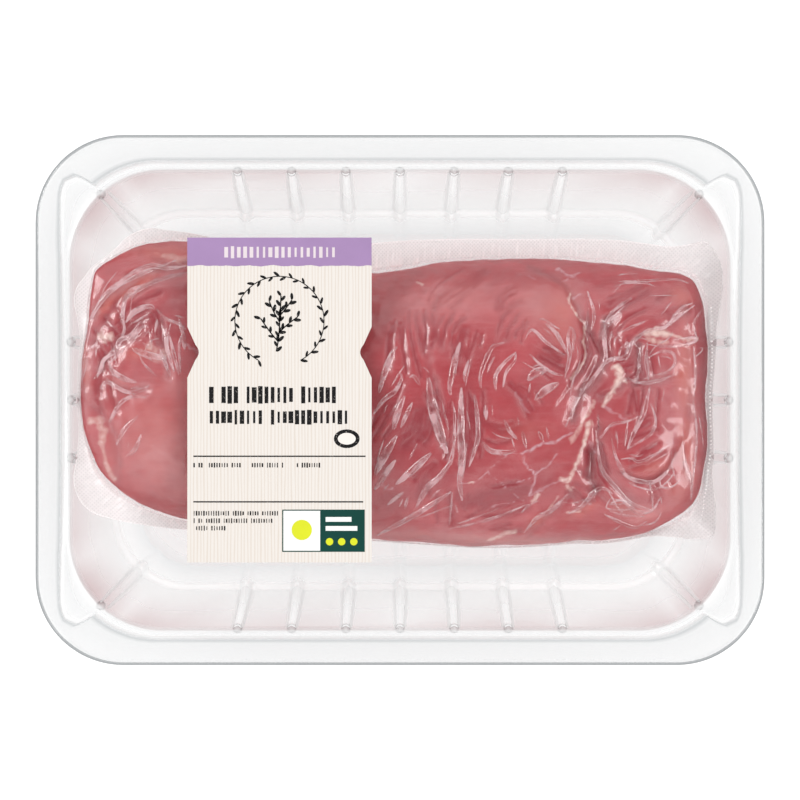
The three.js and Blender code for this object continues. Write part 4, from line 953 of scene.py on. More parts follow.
# Creases: the line, and the half width. Narrow ones are sharp ridges and wide ones are flat-topped tucks.
CREASES = [
    ([(-5.5, 1.8), (-3.9, 7.2), (-1.7, 12.9), (-0.7, 13.7)], 0.95),
    ([(-6.9, -3.7), (-4.2, 0), (-1.1, 2.5), (0.5, 5.7), (0.2, 6.8)], 0.7),
    ([(2.4, 5.7), (3.4, 6.3), (5.2, 3.8)], 0.6),
    ([(-1.7, -7.6), (-0.6, -2.8), (1.2, 1)], 1.1),
    ([(0.2, -7.2), (1.7, -3.7), (3.2, -0.6)], 0.65),
    ([(-6.5, -19.4), (-3.6, -13.7), (-0.8, -9.2)], 1.2),
    ([(-6.6, -23.4), (-3.9, -19.4), (-1.1, -15.5)], 0.95),
    ([(-1.1, -22), (3, -18.4), (8.1, -13.7)], 1.1),
    ([(4.1, -28.3), (7.1, -22.8), (10.2, -20), (13.6, -15.3)], 0.9),
    ([(-3.3, -27.5), (-1.1, -25.6), (1.1, -23.8)], 0.6),
    ([(1.2, -28.6), (1.6, -26.9), (2.1, -25.3)], 0.45),
    ([(7.3, 5.8), (8.3, -1.2), (9.9, -7.5), (12.2, -13.9)], 1.5),
    ([(15.5, 14.9), (14, 9.4), (12.8, 3.2), (13, 1.2)], 1),
    ([(17.7, 10.4), (16.5, 6.3), (16.6, 4.7)], 0.5),
    ([(15.8, 3.2), (15.7, -3.7), (15.8, -10), (16.1, -16.2), (15.5, -21.3), (16.2, -26.3)], 1.1),
    ([(13.5, -0.3), (14.1, -3.7), (13.8, -13.7), (13.3, -16.9)], 0.45),
    ([(20.8, 3), (20.7, 6.3), (22.1, 10.4), (24, 13.8), (27, 14.8)], 0.7),
    ([(24.7, 2.4), (24.5, 5.7), (25.9, 8.5), (29.9, 12.4)], 0.6),
    ([(29.9, 12.1), (29.6, 10.1), (27.4, 7.2), (26.5, 3.2)], 0.5),
    ([(32.3, 15.7), (34.1, 18.2), (37.8, 14.8), (42.5, 11.6)], 0.5),
    ([(37.4, 20.1), (40.3, 17.3), (42.1, 14.1), (43.4, 11.6)], 0.6),
    ([(33.4, 11.9), (35.9, 9.4), (39.6, 6.9), (42.3, 6.3)], 0.45),
    ([(42.5, 5.7), (43.7, 11.3), (43.4, 16.3), (44.1, 19)], 0.6),
    ([(44.1, 19), (45, 17.6), (44.5, 12.3)], 0.5),
    ([(32.9, 5), (34.6, 6.8), (38.1, 8.1)], 1.3),
    ([(34.8, -0.1), (37.3, 2.4), (41, 4.4)], 1.2),
    ([(21.3, -10.7), (23.4, -13.1), (27.1, -13.6), (30.2, -13)], 0.8),
    ([(26.8, -5), (28.4, -8.1), (30.4, -10.3)], 0.6),
    ([(31.5, -8.1), (32.7, -12.5)], 0.6),
    ([(35.7, -8), (37.1, -10.7)], 0.6),
    ([(58.4, 24.5), (54, 20.1), (52.9, 16.3), (53.3, 10.7), (50.6, 6.3), (47.2, 1.9), (42.8, -6.9)], 0.5),
    ([(62.2, 13.8), (61.9, 8.8), (61.6, 5)], 0.5),
    ([(64.1, 14.8), (63.7, 10.1), (64.4, 5)], 0.5),
    ([(59.1, 5.7), (61.6, 4.5), (67.2, 5), (70.3, 6.3)], 0.5),
    ([(64.7, 3.8), (63.7, 0), (62.8, -3.7), (60.3, -8.7), (58.7, -12.5)], 0.7),
    ([(51.2, -10), (51.5, -13.7), (52.8, -18.7), (55.9, -22.5), (60.3, -26.9), (65.9, -28.8)], 0.6),
    ([(54.7, -10), (55.9, -15), (58.4, -19.4), (61.6, -20.9), (65.9, -21.3), (69.7, -18.1),
      (71.6, -13.7)], 0.6),
    ([(44, -29.7), (47.2, -28.1), (50.9, -23.8), (52.8, -22.9), (55.3, -24.4)], 0.6),
    ([(55, -26.9), (57.8, -26.1), (60.3, -28.1), (62.2, -29.4), (65.9, -28.8), (67.8, -25.6)], 0.6),
    ([(73.5, -11.2), (74.1, -16.2), (76, -21.3), (76.3, -26.3)], 0.6),
    ([(32.9, -35), (35.9, -31), (39.6, -28.8), (44, -24.4)], 0.7),
    ([(58.1, 12.3), (61.2, 15.7), (64.1, 17.9), (68.4, 18.8), (71, 20.7), (76.9, 24.8)], 0.55),
    ([(71, 15.7), (77.2, 16.3), (77.5, 15.6), (74.1, 14.4), (68.4, 13.8), (64.1, 14.4)], 0.45),
    ([(-82.4, 2.5), (-82.2, 8.4), (-81.3, 15.5), (-80, 20.9), (-77.6, 25), (-73.5, 29),
      (-68.4, 31.9), (-58.3, 36.5)], 0.6),
    ([(-72, 20.3), (-71.1, 25.9), (-68.4, 28), (-64.3, 30.4), (-59.5, 32.1), (-55.1, 33.2)], 0.6),
    ([(-70.8, 20), (-68.4, 22.9), (-64.3, 24.3), (-63.4, 23.4)], 0.9),
    ([(-79.1, 5.4), (-77.3, 7.8), (-76.7, 10.2), (-73.7, 12.6), (-72.3, 15.5), (-69.6, 16.7),
      (-67.2, 20.3)], 0.7),
    ([(-61, 18.5), (-60.1, 13.2), (-58.3, 7.2)], 0.6),
    ([(-59.4, 16.7), (-58.3, 12), (-57, 6.5)], 0.5),
    ([(-57.1, 20.9), (-55.9, 16.7), (-55.4, 13.2)], 0.6),
    ([(-61.9, 13.2), (-60.1, 8.4), (-59, 5.9)], 0.5),
    ([(-69, 13.2), (-64.3, 11.4), (-60.1, 10.8)], 1.1),
    ([(-77.6, 2.8), (-76.1, 4.7), (-70.2, 2), (-66, 2.8), (-64.6, 4)], 0.6),
    ([(-75.2, -5.8), (-72.4, -1.1), (-69, 1), (-65.4, 0.7)], 0.6),
    ([(-73.2, -11.5), (-70.8, -7.3), (-67.5, -4)], 0.7),
    ([(-71.1, -14.7), (-68.4, -12.9), (-66.6, -8.8)], 0.6),
    ([(19.2, 1.5), (19.9, -4.1), (20.2, -9.1), (19.5, -12.4), (17.9, -17.3)], 0.7),
    ([(22, -1.2), (22.2, -5.1)], 0.7), ([(13.3, -23.9), (4.4, -29.8), (-6.2, -36.1)], 0.8),
    ([(12.6, -34.1), (19.2, -32.5), (25.8, -30.5), (33.4, -27.2)], 0.4), ([(13.6, -24), (13, -33)], 0.3),
    ([(64.7, -0.8), (66, -5.1), (65.1, -8.4), (58.5, -12.7)], 0.4), ([(58.8, -5.5), (58.1, -12)], 0.35),
    ([(51.9, -10.1), (54.5, -6.4), (58.8, -5.5), (61.8, -4.1)], 0.4),
    ([(66, -29.2), (65.7, -24.9), (64.7, -21.3)], 0.3),
    ([(57.1, -15.3), (59.8, -15), (61.4, -16), (66, -14), (70, -11.4)], 0.4),
    ([(54.8, -25.6), (53.9, -28.2), (60.8, -28.5), (59.8, -26.9), (55.2, -25.6)], 0.3),
    ([(67.4, -20.3), (68, -22.6), (70.7, -22.6), (73, -20.6)], 0.35),
    ([(53.2, -29.8), (61.8, -33.5), (64.7, -31.8)], 0.5),
    ([(76.3, -0.2), (77.3, -7.4), (76.9, -17.3), (75.9, -23.9)], 0.4),
    ([(76.4, 14.1), (77, 7), (76.6, 0.9)], 0.4),
    ([(64.1, -30.5), (59.1, -30.2), (54.5, -28.9)], 0.3), ([(60.4, 26.7), (55.8, 23.4), (53.2, 20.1)], 0.5),
    ([(51.5, 8.2), (54.5, 10.5), (58.5, 11.2), (60.1, 14.8), (63.4, 17.8)], 0.7),
    ([(69, 19.1), (73.3, 24), (76.3, 25.3)], 0.4), ([(53.5, 19.7), (53.5, 14.1), (53.9, 10.8)], 0.35),
    ([(64.1, 10.8), (67.4, 12.5), (70.7, 12.2), (71.3, 9.5), (68.7, 6.9), (64.7, 6.6)], 0.4),
    ([(57.1, 17.4), (60.4, 19.1), (64.1, 20.6)], 0.4), ([(56.5, 11.8), (57.8, 14.1), (59.8, 14.8)], 0.35),
    ([(55.8, 29.6), (59.1, 30.6), (64.4, 30.6), (66.7, 29.6)], 0.4),
    ([(77.6, 15.6), (76.6, 20), (79.3, 24)], 0.4),
    ([(57.1, 31.1), (65.7, 31.3), (72.3, 31.6), (75.6, 30.6)], 0.4),
    ([(49, 28.5), (50.5, 22), (49.8, 18)], 0.5),
    ([(-55, 35.1), (-60.3, 34.3), (-64.3, 34.8), (-68, 33.5), (-71.6, 30.9), (-75.6, 27.9),
      (-78.5, 24.5)], 0.8),
    ([(-62.7, 31.4), (-66.1, 29.8), (-70, 28.2), (-71.1, 25.3), (-71.6, 21.4), (-71.1, 18.2),
      (-72.7, 14.8)], 0.6),
    ([(-72.7, 14.8), (-75.3, 11.6), (-76.7, 10), (-78, 6.9), (-78.2, 5.5)], 0.45),
    ([(-64.3, 22.7), (-67.4, 20.8), (-69.8, 19.4)], 0.3),
    ([(-62.9, 23.5), (-60.6, 21.1), (-57.4, 19.8), (-55.3, 18.2)], 0.5),
    ([(-65.3, 19.2), (-66.9, 18.7), (-69, 15.6), (-72.2, 12.9), (-73.7, 10.8), (-75.1, 9.5)], 0.75),
    ([(-62.7, 20.8), (-63.2, 17.4)], 0.4), ([(-59.5, 18.2), (-60, 14.8), (-59.5, 10.8)], 0.35),
    ([(-55.8, 17.9), (-56.9, 14.8), (-56.6, 6.9)], 0.4), ([(-67.2, 11.9), (-66.1, 9.5), (-62.7, 6.1)], 0.3),
    ([(-75.1, 9.5), (-74.3, 7.6), (-71.1, 5.5), (-67.9, 4.5)], 0.8),
    ([(-80.5, 14.5), (-81.3, 8.7), (-82.1, 5.5)], 0.35),
]
CREASE_STEP = 0.45
CREASE_ROUND = 2.6
CREASE_LIFT = 0.42
CREASE_SINK = 0.05
# The lines are dropped on the film from this height, by up to this much.
ABOVE_MEAT, DROP_MOST = 60, 100


def line_object(name, lines, height, even=False):
    """A curve object with a line for each (points, half width), tapered to its ends unless it is even."""
    curve = bpy.data.curves.new(name, "CURVE")
    curve.dimensions = "3D"
    for path, half in lines:
        spline = curve.splines.new("POLY")
        spline.points.add(len(path) - 1)
        t = np.linspace(0, 1, len(path))
        tapers = np.sin(np.pi * (0.03 + 0.94 * t)) ** (0 if even else 0.6)
        for point, (x, y), taper in zip(spline.points, path, tapers):
            point.co = (x * MM, y * MM, height * MM, 1)
            point.radius = half * MM * taper
    return bpy.data.objects.new(name, curve)


def crease_tree():
    """Lays a strip along each line, drops it on the film, and raises its middle."""
    tree, given, output = node_tree("creases_on_film", Lines="Object", Film="Object", Step="Float", Across="Int",
                                    Lift="Float", Round="Float", Sink="Float", Finish="Material")
    lines = add_node(tree, "GeometryNodeObjectInfo", {"Object": given["Lines"]})
    film = add_node(tree, "GeometryNodeObjectInfo", {"Object": given["Film"]}).outputs["Geometry"]
    run = add_node(tree, "GeometryNodeResampleCurve", {0: lines.outputs["Geometry"], "Length": given["Step"]},
                   mode="LENGTH")
    level = add_node(tree, "GeometryNodeSetCurveNormal", {0: run.outputs[0]}, mode="Z_UP")
    radius = add_node(tree, "GeometryNodeInputRadius").outputs[0]
    wide = add_node(tree, "GeometryNodeStoreNamedAttribute",
                    {0: level.outputs[0], "Name": "half_width", "Value": radius}, domain="POINT")
    bar = add_node(tree, "GeometryNodeCurvePrimitiveLine", {"Start": (-1, 0, 0), "End": (1, 0, 0)})
    bar = add_node(tree, "GeometryNodeResampleCurve", {0: bar.outputs[0], "Count": given["Across"]},
                   mode="COUNT")
    factor = add_node(tree, "GeometryNodeSplineParameter").outputs["Factor"]
    bar = add_node(tree, "GeometryNodeStoreNamedAttribute", {
        0: bar.outputs[0], "Name": "across", "Value": factor}, domain="POINT")
    strip = add_node(tree, "GeometryNodeCurveToMesh", {0: wide.outputs[0], 1: bar.outputs[0], "Scale": radius})
    place = add_node(tree, "GeometryNodeInputPosition").outputs[0]
    drop = add_node(tree, "GeometryNodeRaycast", {
        0: film, "Source Position": place, "Ray Direction": (0, 0, -1), "Ray Length": DROP_MOST * MM})
    landed = add_node(tree, "GeometryNodeSetPosition", {
        0: strip.outputs[0], "Position": drop.outputs["Hit Position"]})
    across = add_node(tree, "GeometryNodeInputNamedAttribute", {"Name": "across"}).outputs[0]
    half = add_node(tree, "GeometryNodeInputNamedAttribute", {"Name": "half_width"}).outputs[0]
    from_middle = add_node(tree, "ShaderNodeMath", {0: across, 1: 2, 2: -1},
                           operation="MULTIPLY_ADD").outputs[0]
    off = add_node(tree, "ShaderNodeMath", {0: from_middle}, operation="ABSOLUTE").outputs[0]
    fall = add_node(tree, "ShaderNodeMath", {0: off, 1: given["Round"]}, operation="POWER").outputs[0]
    full = add_node(tree, "ShaderNodeMath", {0: 1, 1: fall}, operation="SUBTRACT").outputs[0]
    lift = add_node(tree, "ShaderNodeMath", {0: half, 1: given["Lift"]}, operation="MULTIPLY").outputs[0]
    up = add_node(tree, "ShaderNodeMath", {0: full, 1: lift}, operation="MULTIPLY").outputs[0]
    up = add_node(tree, "ShaderNodeMath", {0: up, 1: given["Sink"]}, operation="SUBTRACT").outputs[0]
    raised = add_node(tree, "GeometryNodeSetPosition", {
        0: landed.outputs[0], "Offset": add_node(tree, "ShaderNodeCombineXYZ", {2: up}).outputs[0]})
    smooth = add_node(tree, "GeometryNodeSetShadeSmooth", {0: raised.outputs[0]})
    solid = add_node(tree, "GeometryNodeRealizeInstances", {0: smooth.outputs[0]})
    done = add_node(tree, "GeometryNodeSetMaterial", {0: solid.outputs[0], "Material": given["Finish"]})
    tree.links.new(done.outputs[0], output.inputs[0])
    return tree


def creased_film():
    """The same film where it is tucked: as glossy, with a painted highlight in milky pink where it bends at the
    tuck's edges, and in places milky over the whole tuck, where air is caught under it."""
    material, tree, output = new_material("creased_pouch_film")
    place = add_node(tree, "ShaderNodeTexCoord").outputs["Object"]
    patches = add_node(tree, "ShaderNodeTexNoise", {
        "Vector": place, "Scale": 1 / (4 * MM), "Detail": 2}).outputs[0]
    air = add_node(tree, "ShaderNodeMapRange", {0: patches, 1: 0.42, 2: 0.62, 3: 0, 4: 0.42}).outputs[0]
    # The painted highlight on the bends is strong over some stretches and faint over others.
    stretches = add_node(tree, "ShaderNodeTexNoise", {
        "Vector": place, "Scale": 1 / (2.5 * MM), "Detail": 1}).outputs[0]
    gleam = add_node(tree, "ShaderNodeMapRange", {0: stretches, 1: 0.35, 2: 0.65, 3: 0.12, 4: 0.62}).outputs[0]
    across = add_node(tree, "ShaderNodeAttribute", attribute_name="across").outputs["Fac"]
    from_middle = add_node(tree, "ShaderNodeMath", {0: across, 1: 2, 2: -1},
                           operation="MULTIPLY_ADD").outputs[0]
    off = add_node(tree, "ShaderNodeMath", {0: from_middle}, operation="ABSOLUTE").outputs[0]
    bent = add_node(tree, "ShaderNodeMapRange", {0: off, 1: 0.58, 2: 0.76, 3: air, 4: gleam},
                    interpolation_type="SMOOTHSTEP").outputs[0]
    laid = add_node(tree, "ShaderNodeMapRange", {0: off, 1: 0.82, 2: 0.96, 3: bent, 4: 0},
                    interpolation_type="SMOOTHSTEP").outputs[0]
    sheet = clear_sheet(tree, "#FEFCFC", "#F8EEEF", 3, 1.5, 0.3, 0.09)
    haze_and_highlight = haze_of(tree, linear("#FAD0D4"))
    mixed = add_node(tree, "ShaderNodeMixShader", {0: laid, 1: sheet.outputs[0], 2: haze_and_highlight})
    tree.links.new(mixed.outputs[0], output.inputs["Surface"])
    return material


broad_lines = [(smooth_line(line, PATH_STEP), half) for line, half in CREASES]
fine_lines = beside(CREASES, seed=31, each=1, away=(1.2, 4.5), bend=14, share=(0.25, 0.6), wide=(0.12, 0.3))
crease_finish = creased_film()
for name, lines_of, step, points_across in (
        ("pouch_creases", broad_lines, CREASE_STEP, 13),
        ("pouch_fine_creases", fine_lines, 1.4 * CREASE_STEP, 5)):
    lines = line_object(name + "_lines", lines_of, ABOVE_MEAT)
    creases = grow(name, "pouch_film", crease_tree(), Lines=lines, Film=pouch_top, Step=step * MM,
                   Across=points_across, Lift=CREASE_LIFT, Round=CREASE_ROUND, Sink=CREASE_SINK * MM,
                   Finish=crease_finish)
    bpy.data.objects.remove(lines)
    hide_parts("tenderloin_in_pouch")


# A row of small clear beads marks the seal along the right margin: the line, and the beads' spacing.
BEAD_LINE = [(78.6, 24), (79.3, 14), (79.5, 5), (79.6, -6), (79.5, -16), (79.1, -24), (78.6, -31)]
BEAD_SPACING = 0.95
BEAD_RADIUS = 0.3
bead_path = smooth_line(BEAD_LINE, BEAD_SPACING)
along_right = np.argmin(abs(outline[:, 1] - bead_path[:, 1:]) + 100 * (outline[:, 0] < 0), axis=1)
bead_places = [(max(x, outline[k, 0] + 0.9), y, edge_height[k] + 0.3)
               for (x, y), k in zip(bead_path, along_right)]
bead_points = point_object("bead_points", bead_places)
beads = grow("pouch_seal_beads", "pouch_film", bead_tree(), Points=bead_points, Radius=BEAD_RADIUS * MM,
             Flat=0.5, Smallest=0.35, Seed=7, Finish=pouch_material)
paint(beads, "margin", np.ones(len(beads.data.vertices)))
paint(beads, "haze", np.full(len(beads.data.vertices), EDGE_HAZE))
bpy.data.objects.remove(bead_points)
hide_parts("tenderloin_in_pouch")


# Lidding film
# One sheet of clear film is heat-sealed to the flange and drawn flat over the tray's mouth.

LID_HIGH = np.array(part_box("lid_film")[1]) / MM
LID_CORNER = 20.9
LID_STEPS = 16


def lidding_film():
    """Polyester lidding film: clear and glossy, all but invisible where it lies flat."""
    material, tree, output = new_material("lidding_film")
    place = add_node(tree, "ShaderNodeTexCoord").outputs["Object"]
    wave = add_node(tree, "ShaderNodeTexNoise", {"Vector": place, "Scale": 1 / (40 * MM), "Detail": 1})
    bump = add_node(tree, "ShaderNodeBump", {"Height": wave.outputs[0], "Strength": 0.2, "Distance": 1 * MM})
    sheet = clear_sheet(tree, "#FEFEFE", "#D9D9D9", 3, 0.6, 1, 0.05, bump.outputs[0])
    tree.links.new(sheet.outputs[0], output.inputs["Surface"])
    return material


def rounded_outline(half_x, half_y, corner, steps):
    """The points of a rounded rectangle, anticlockwise."""
    points = []
    for quarter in range(4):
        sign_x = 1 if quarter in (0, 3) else -1
        sign_y = 1 if quarter < 2 else -1
        for k in range(steps + 1):
            angle = math.radians(90 * (quarter + k / steps))
            points.append((sign_x * (half_x - corner) + corner * math.cos(angle),
                           sign_y * (half_y - corner) + corner * math.sin(angle)))
    return points


lid_outline = rounded_outline(LID_HIGH[0], LID_HIGH[1], LID_CORNER, LID_STEPS)
lid_points = [(x, y, LID_HIGH[2]) for x, y in lid_outline]
lid = make_piece("lid_sheet", lid_points, [range(len(lid_points))], lidding_film(), smooth=False)
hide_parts("lid_film")


# Label
# The label is one sheet of coated paper on the film, die-cut with a notch in each long side. It is printed in
# a few inks: a torn-edged lilac band, a wreath with a sprig, rows of plain ticks, thin rules and a badge.

LABEL_LOW, LABEL_HIGH = (np.array(corner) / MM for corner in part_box("label"))
NOTCH_Y, NOTCH_HALF, NOTCH_DEPTH, NOTCH_TIP, NOTCH_PULL = 12.2, 6.5, 2.95, 1.9, 1.28
NOTCH_STEPS = 8
INK_THICKNESS = 0.02
LINE_PITCH = 0.86
BAND_EDGE = 34.3
TEAR_STEP = 0.45
WREATH_CENTRE = (-30.8, 20.2)
WREATH_RADIUS = 11.4


def plate(outline_points, low, high):
    """Points and faces of a flat plate with that outline."""
    count = len(outline_points)
    points = [(x, y, z) for z in (low, high) for x, y in outline_points]
    faces = [tuple(range(count))[::-1], tuple(range(count, 2 * count))]
    faces += [(k, (k + 1) % count, count + (k + 1) % count, count + k) for k in range(count)]
    return points, faces


def notched_outline():
    """The label's outline, anticlockwise, with its two notches."""
    points = []
    for edge, into in ((LABEL_HIGH[0], -1), (LABEL_LOW[0], 1)):
        tip_x = edge + into * NOTCH_DEPTH * (1 - NOTCH_TIP / NOTCH_HALF)
        pull_x = edge + into * NOTCH_DEPTH * NOTCH_PULL
        arc = [((1 - t) ** 2 * tip_x + 2 * t * (1 - t) * pull_x + t * t * tip_x, (2 * t - 1) * NOTCH_TIP)
               for t in np.linspace(0, 1, NOTCH_STEPS + 1)]
        notch = [(x, NOTCH_Y + y) for x, y in [(edge, -NOTCH_HALF), *arc, (edge, NOTCH_HALF)]]
        side = [(edge, LABEL_LOW[1]), *notch, (edge, LABEL_HIGH[1])]
        points += side if into < 0 else side[::-1]
    return points


def lined_paper():
    """Coated label paper, printed cream with fine, slightly uneven beige lines down its length."""
    material, tree, output = new_material("lined_label_paper")
    place = add_node(tree, "ShaderNodeTexCoord").outputs["Object"]
    drawn = add_node(tree, "ShaderNodeMapping", {0: place, "Scale": (1, 0.07, 1)})
    wobble = add_node(tree, "ShaderNodeTexNoise", {
        "Vector": drawn.outputs[0], "Scale": 1 / (1.3 * MM), "Detail": 2})
    axes = add_node(tree, "ShaderNodeSeparateXYZ", {0: place})
    phase = add_node(tree, "ShaderNodeMath", {0: axes.outputs["X"], 1: 2 * math.pi / (LINE_PITCH * MM)},
                     operation="MULTIPLY").outputs[0]
    shifted = add_node(tree, "ShaderNodeMath", {0: wobble.outputs[0], 1: 6, 2: phase}, operation="MULTIPLY_ADD")
    wave = add_node(tree, "ShaderNodeMath", {0: shifted.outputs[0]}, operation="SINE")
    share = add_node(tree, "ShaderNodeMapRange", {0: wave.outputs[0], 1: 0.1, 2: 1})
    colour = add_node(tree, "ShaderNodeMix", {0: share.outputs[0], 6: linear("#D8D2CC"), 7: linear("#CFC5BB")},
                      data_type="RGBA")
    paper = add_node(tree, "ShaderNodeBsdfPrincipled", {"Base Color": colour.outputs[2], "Roughness": 0.7})
    tree.links.new(paper.outputs[0], output.inputs["Surface"])
    return material


def ink(name, hex_code, wear=0.0):
    """Printing ink on coated paper: satin, and worn through to the paper in small specks where it is heavy."""
    material, tree, output = new_material(name)
    place = add_node(tree, "ShaderNodeTexCoord").outputs["Object"]
    specks = add_node(tree, "ShaderNodeTexNoise", {"Vector": place, "Scale": 1 / (0.5 * MM), "Detail": 3})
    worn = add_node(tree, "ShaderNodeMapRange", {0: specks.outputs[0], 1: 0.62, 2: 0.7, 4: wear})
    soft = add_node(tree, "ShaderNodeTexNoise", {"Vector": place, "Scale": 1 / (6 * MM), "Detail": 2})
    tone = add_node(tree, "ShaderNodeMapRange", {0: soft.outputs[0], 1: 0.3, 2: 0.7, 3: 0.94, 4: 1})
    colour = add_node(tree, "ShaderNodeMix", {0: worn.outputs[0], 6: linear(hex_code), 7: linear("#E4DDD6")},
                      data_type="RGBA")
    toned = add_node(tree, "ShaderNodeVectorMath", {0: colour.outputs[2], "Scale": tone.outputs[0]},
                     operation="SCALE")
    film = add_node(tree, "ShaderNodeBsdfPrincipled", {
        "Base Color": toned.outputs[0], "Roughness": 0.55, "Specular IOR Level": 0.2})
    tree.links.new(film.outputs[0], output.inputs["Surface"])
    return material


def printed(name, outlines, material, layer=1):
    """A piece of thin plates of ink, in that layer of ink on the paper."""
    points, faces = [], []
    for shape in outlines:
        top = LABEL_HIGH[2] + layer * INK_THICKNESS
        more_points, more_faces = plate(shape, top - 2 * INK_THICKNESS, top)
        faces += [[len(points) + i for i in face] for face in more_faces]
        points += more_points
    piece = make_piece(name, points, faces, material, smooth=False)
    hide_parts("label")


def block(low_x, low_y, high_x, high_y):
    """The outline of a rectangle."""
    return [(low_x, low_y), (high_x, low_y), (high_x, high_y), (low_x, high_y)]


def disc(x, y, radius_x, radius_y, steps=28):
    """The outline of an oval."""
    turns = [2 * math.pi * k / steps for k in range(steps)]
    return [(x + radius_x * math.cos(turn), y + radius_y * math.sin(turn)) for turn in turns]


label_points, label_faces = plate(notched_outline(), LABEL_LOW[2], LABEL_HIGH[2])
label = make_piece("label_paper", label_points, label_faces, lined_paper(), smooth=False)
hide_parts("label")

tear_x = np.arange(LABEL_LOW[0] + TEAR_STEP, LABEL_HIGH[0], TEAR_STEP)
tear = [(x, BAND_EDGE + 0.28 * noise.noise(Vector((x / 3.1, 0, 5))) + 0.12 * noise.noise(Vector((x, 0, 9))))
        for x in tear_x]
band_outline = [(LABEL_LOW[0], BAND_EDGE), *tear, (LABEL_HIGH[0], BAND_EDGE), tuple(LABEL_HIGH[:2]),
                (LABEL_LOW[0], LABEL_HIGH[1])]
printed("label_band", [band_outline], ink("lilac_ink", "#9C80A9"))

black_ink = ink("black_ink", "#0C0B0D", 0.4)
rules = [block(-52.8, -14.55, -8.8, -14.2), block(-52.8, -26.2, -9.4, -25.85)]
printed("label_rules", rules, black_ink)
printed("label_mark", [disc(-13.6, -9.9, 3.3, 2.4)], black_ink)
printed("label_mark_middle", [disc(-13.6, -9.9, 2.3, 1.5)], ink("cream_ink", "#E6DFD9"), layer=2)

green_ink = ink("green_ink", "#023C35")
white_ink = ink("white_ink", "#E9EAE8")
lime_ink = ink("lime_ink", "#CFD527")
printed("label_badge", [block(-30.1, -38.8, -9, -28)], green_ink)
printed("label_badge_field", [block(-29.8, -38.5, -20.4, -28.3)], white_ink, layer=2)
printed("label_badge_disc", [disc(-25.1, -33.2, 2.6, 2.6)], lime_ink, layer=3)
badge_bars = [block(-19, -31.1, -12.4, -29.9), block(-19, -33.4, -10.9, -32.2)]
printed("label_badge_bars", badge_bars, white_ink, layer=2)
printed("label_badge_dots", [disc(-18 + 3.1 * k, -36.2, 0.95, 0.95, 16) for k in range(3)], lime_ink, layer=2)


def tick_tree():
    """Stands a row of upright ticks along each line, of uneven width and height, with gaps as between words."""
    tree, given, output = node_tree("ticks_along_lines", Lines="Object", Pitch="Float", Width="Float",
                                    Gaps="Float", Seed="Int", Finish="Material")
    lines = add_node(tree, "GeometryNodeObjectInfo", {"Object": given["Lines"]})
    radius = add_node(tree, "GeometryNodeInputRadius").outputs[0]
    stored = add_node(tree, "GeometryNodeStoreNamedAttribute",
                      {0: lines.outputs["Geometry"], "Name": "half_height", "Value": radius}, domain="POINT")
    spots = add_node(tree, "GeometryNodeCurveToPoints", {0: stored.outputs[0], "Length": given["Pitch"]},
                     mode="LENGTH")
    tick = add_node(tree, "GeometryNodeMeshGrid", {
        "Size X": 1.0, "Size Y": 2.0, "Vertices X": 2, "Vertices Y": 2})
    half = add_node(tree, "GeometryNodeInputNamedAttribute", {"Name": "half_height"}).outputs[0]
    wide = add_node(tree, "FunctionNodeRandomValue", {2: 0.55, 3: 1.3, "Seed": given["Seed"]}, data_type="FLOAT")
    tall = add_node(tree, "FunctionNodeRandomValue", {2: 0.72, 3: 1.0, "Seed": 5}, data_type="FLOAT")
    width = add_node(tree, "ShaderNodeMath", {0: wide.outputs[1], 1: given["Width"]},
                     operation="MULTIPLY").outputs[0]
    height = add_node(tree, "ShaderNodeMath", {0: tall.outputs[1], 1: half}, operation="MULTIPLY").outputs[0]
    size = add_node(tree, "ShaderNodeCombineXYZ", {0: width, 1: height, 2: 1}).outputs[0]
    chance = add_node(tree, "FunctionNodeRandomValue", {2: 0.0, 3: 1.0, "Seed": 9}, data_type="FLOAT")
    kept = add_node(tree, "FunctionNodeCompare", {0: chance.outputs[1], 1: given["Gaps"]}, data_type="FLOAT")
    placed = add_node(tree, "GeometryNodeInstanceOnPoints", {
        0: spots.outputs[0], "Selection": kept.outputs[0], "Instance": tick.outputs[0], "Scale": size})
    solid = add_node(tree, "GeometryNodeRealizeInstances", {0: placed.outputs[0]})
    done = add_node(tree, "GeometryNodeSetMaterial", {0: solid.outputs[0], "Material": given["Finish"]})
    tree.links.new(done.outputs[0], output.inputs[0])
    return tree


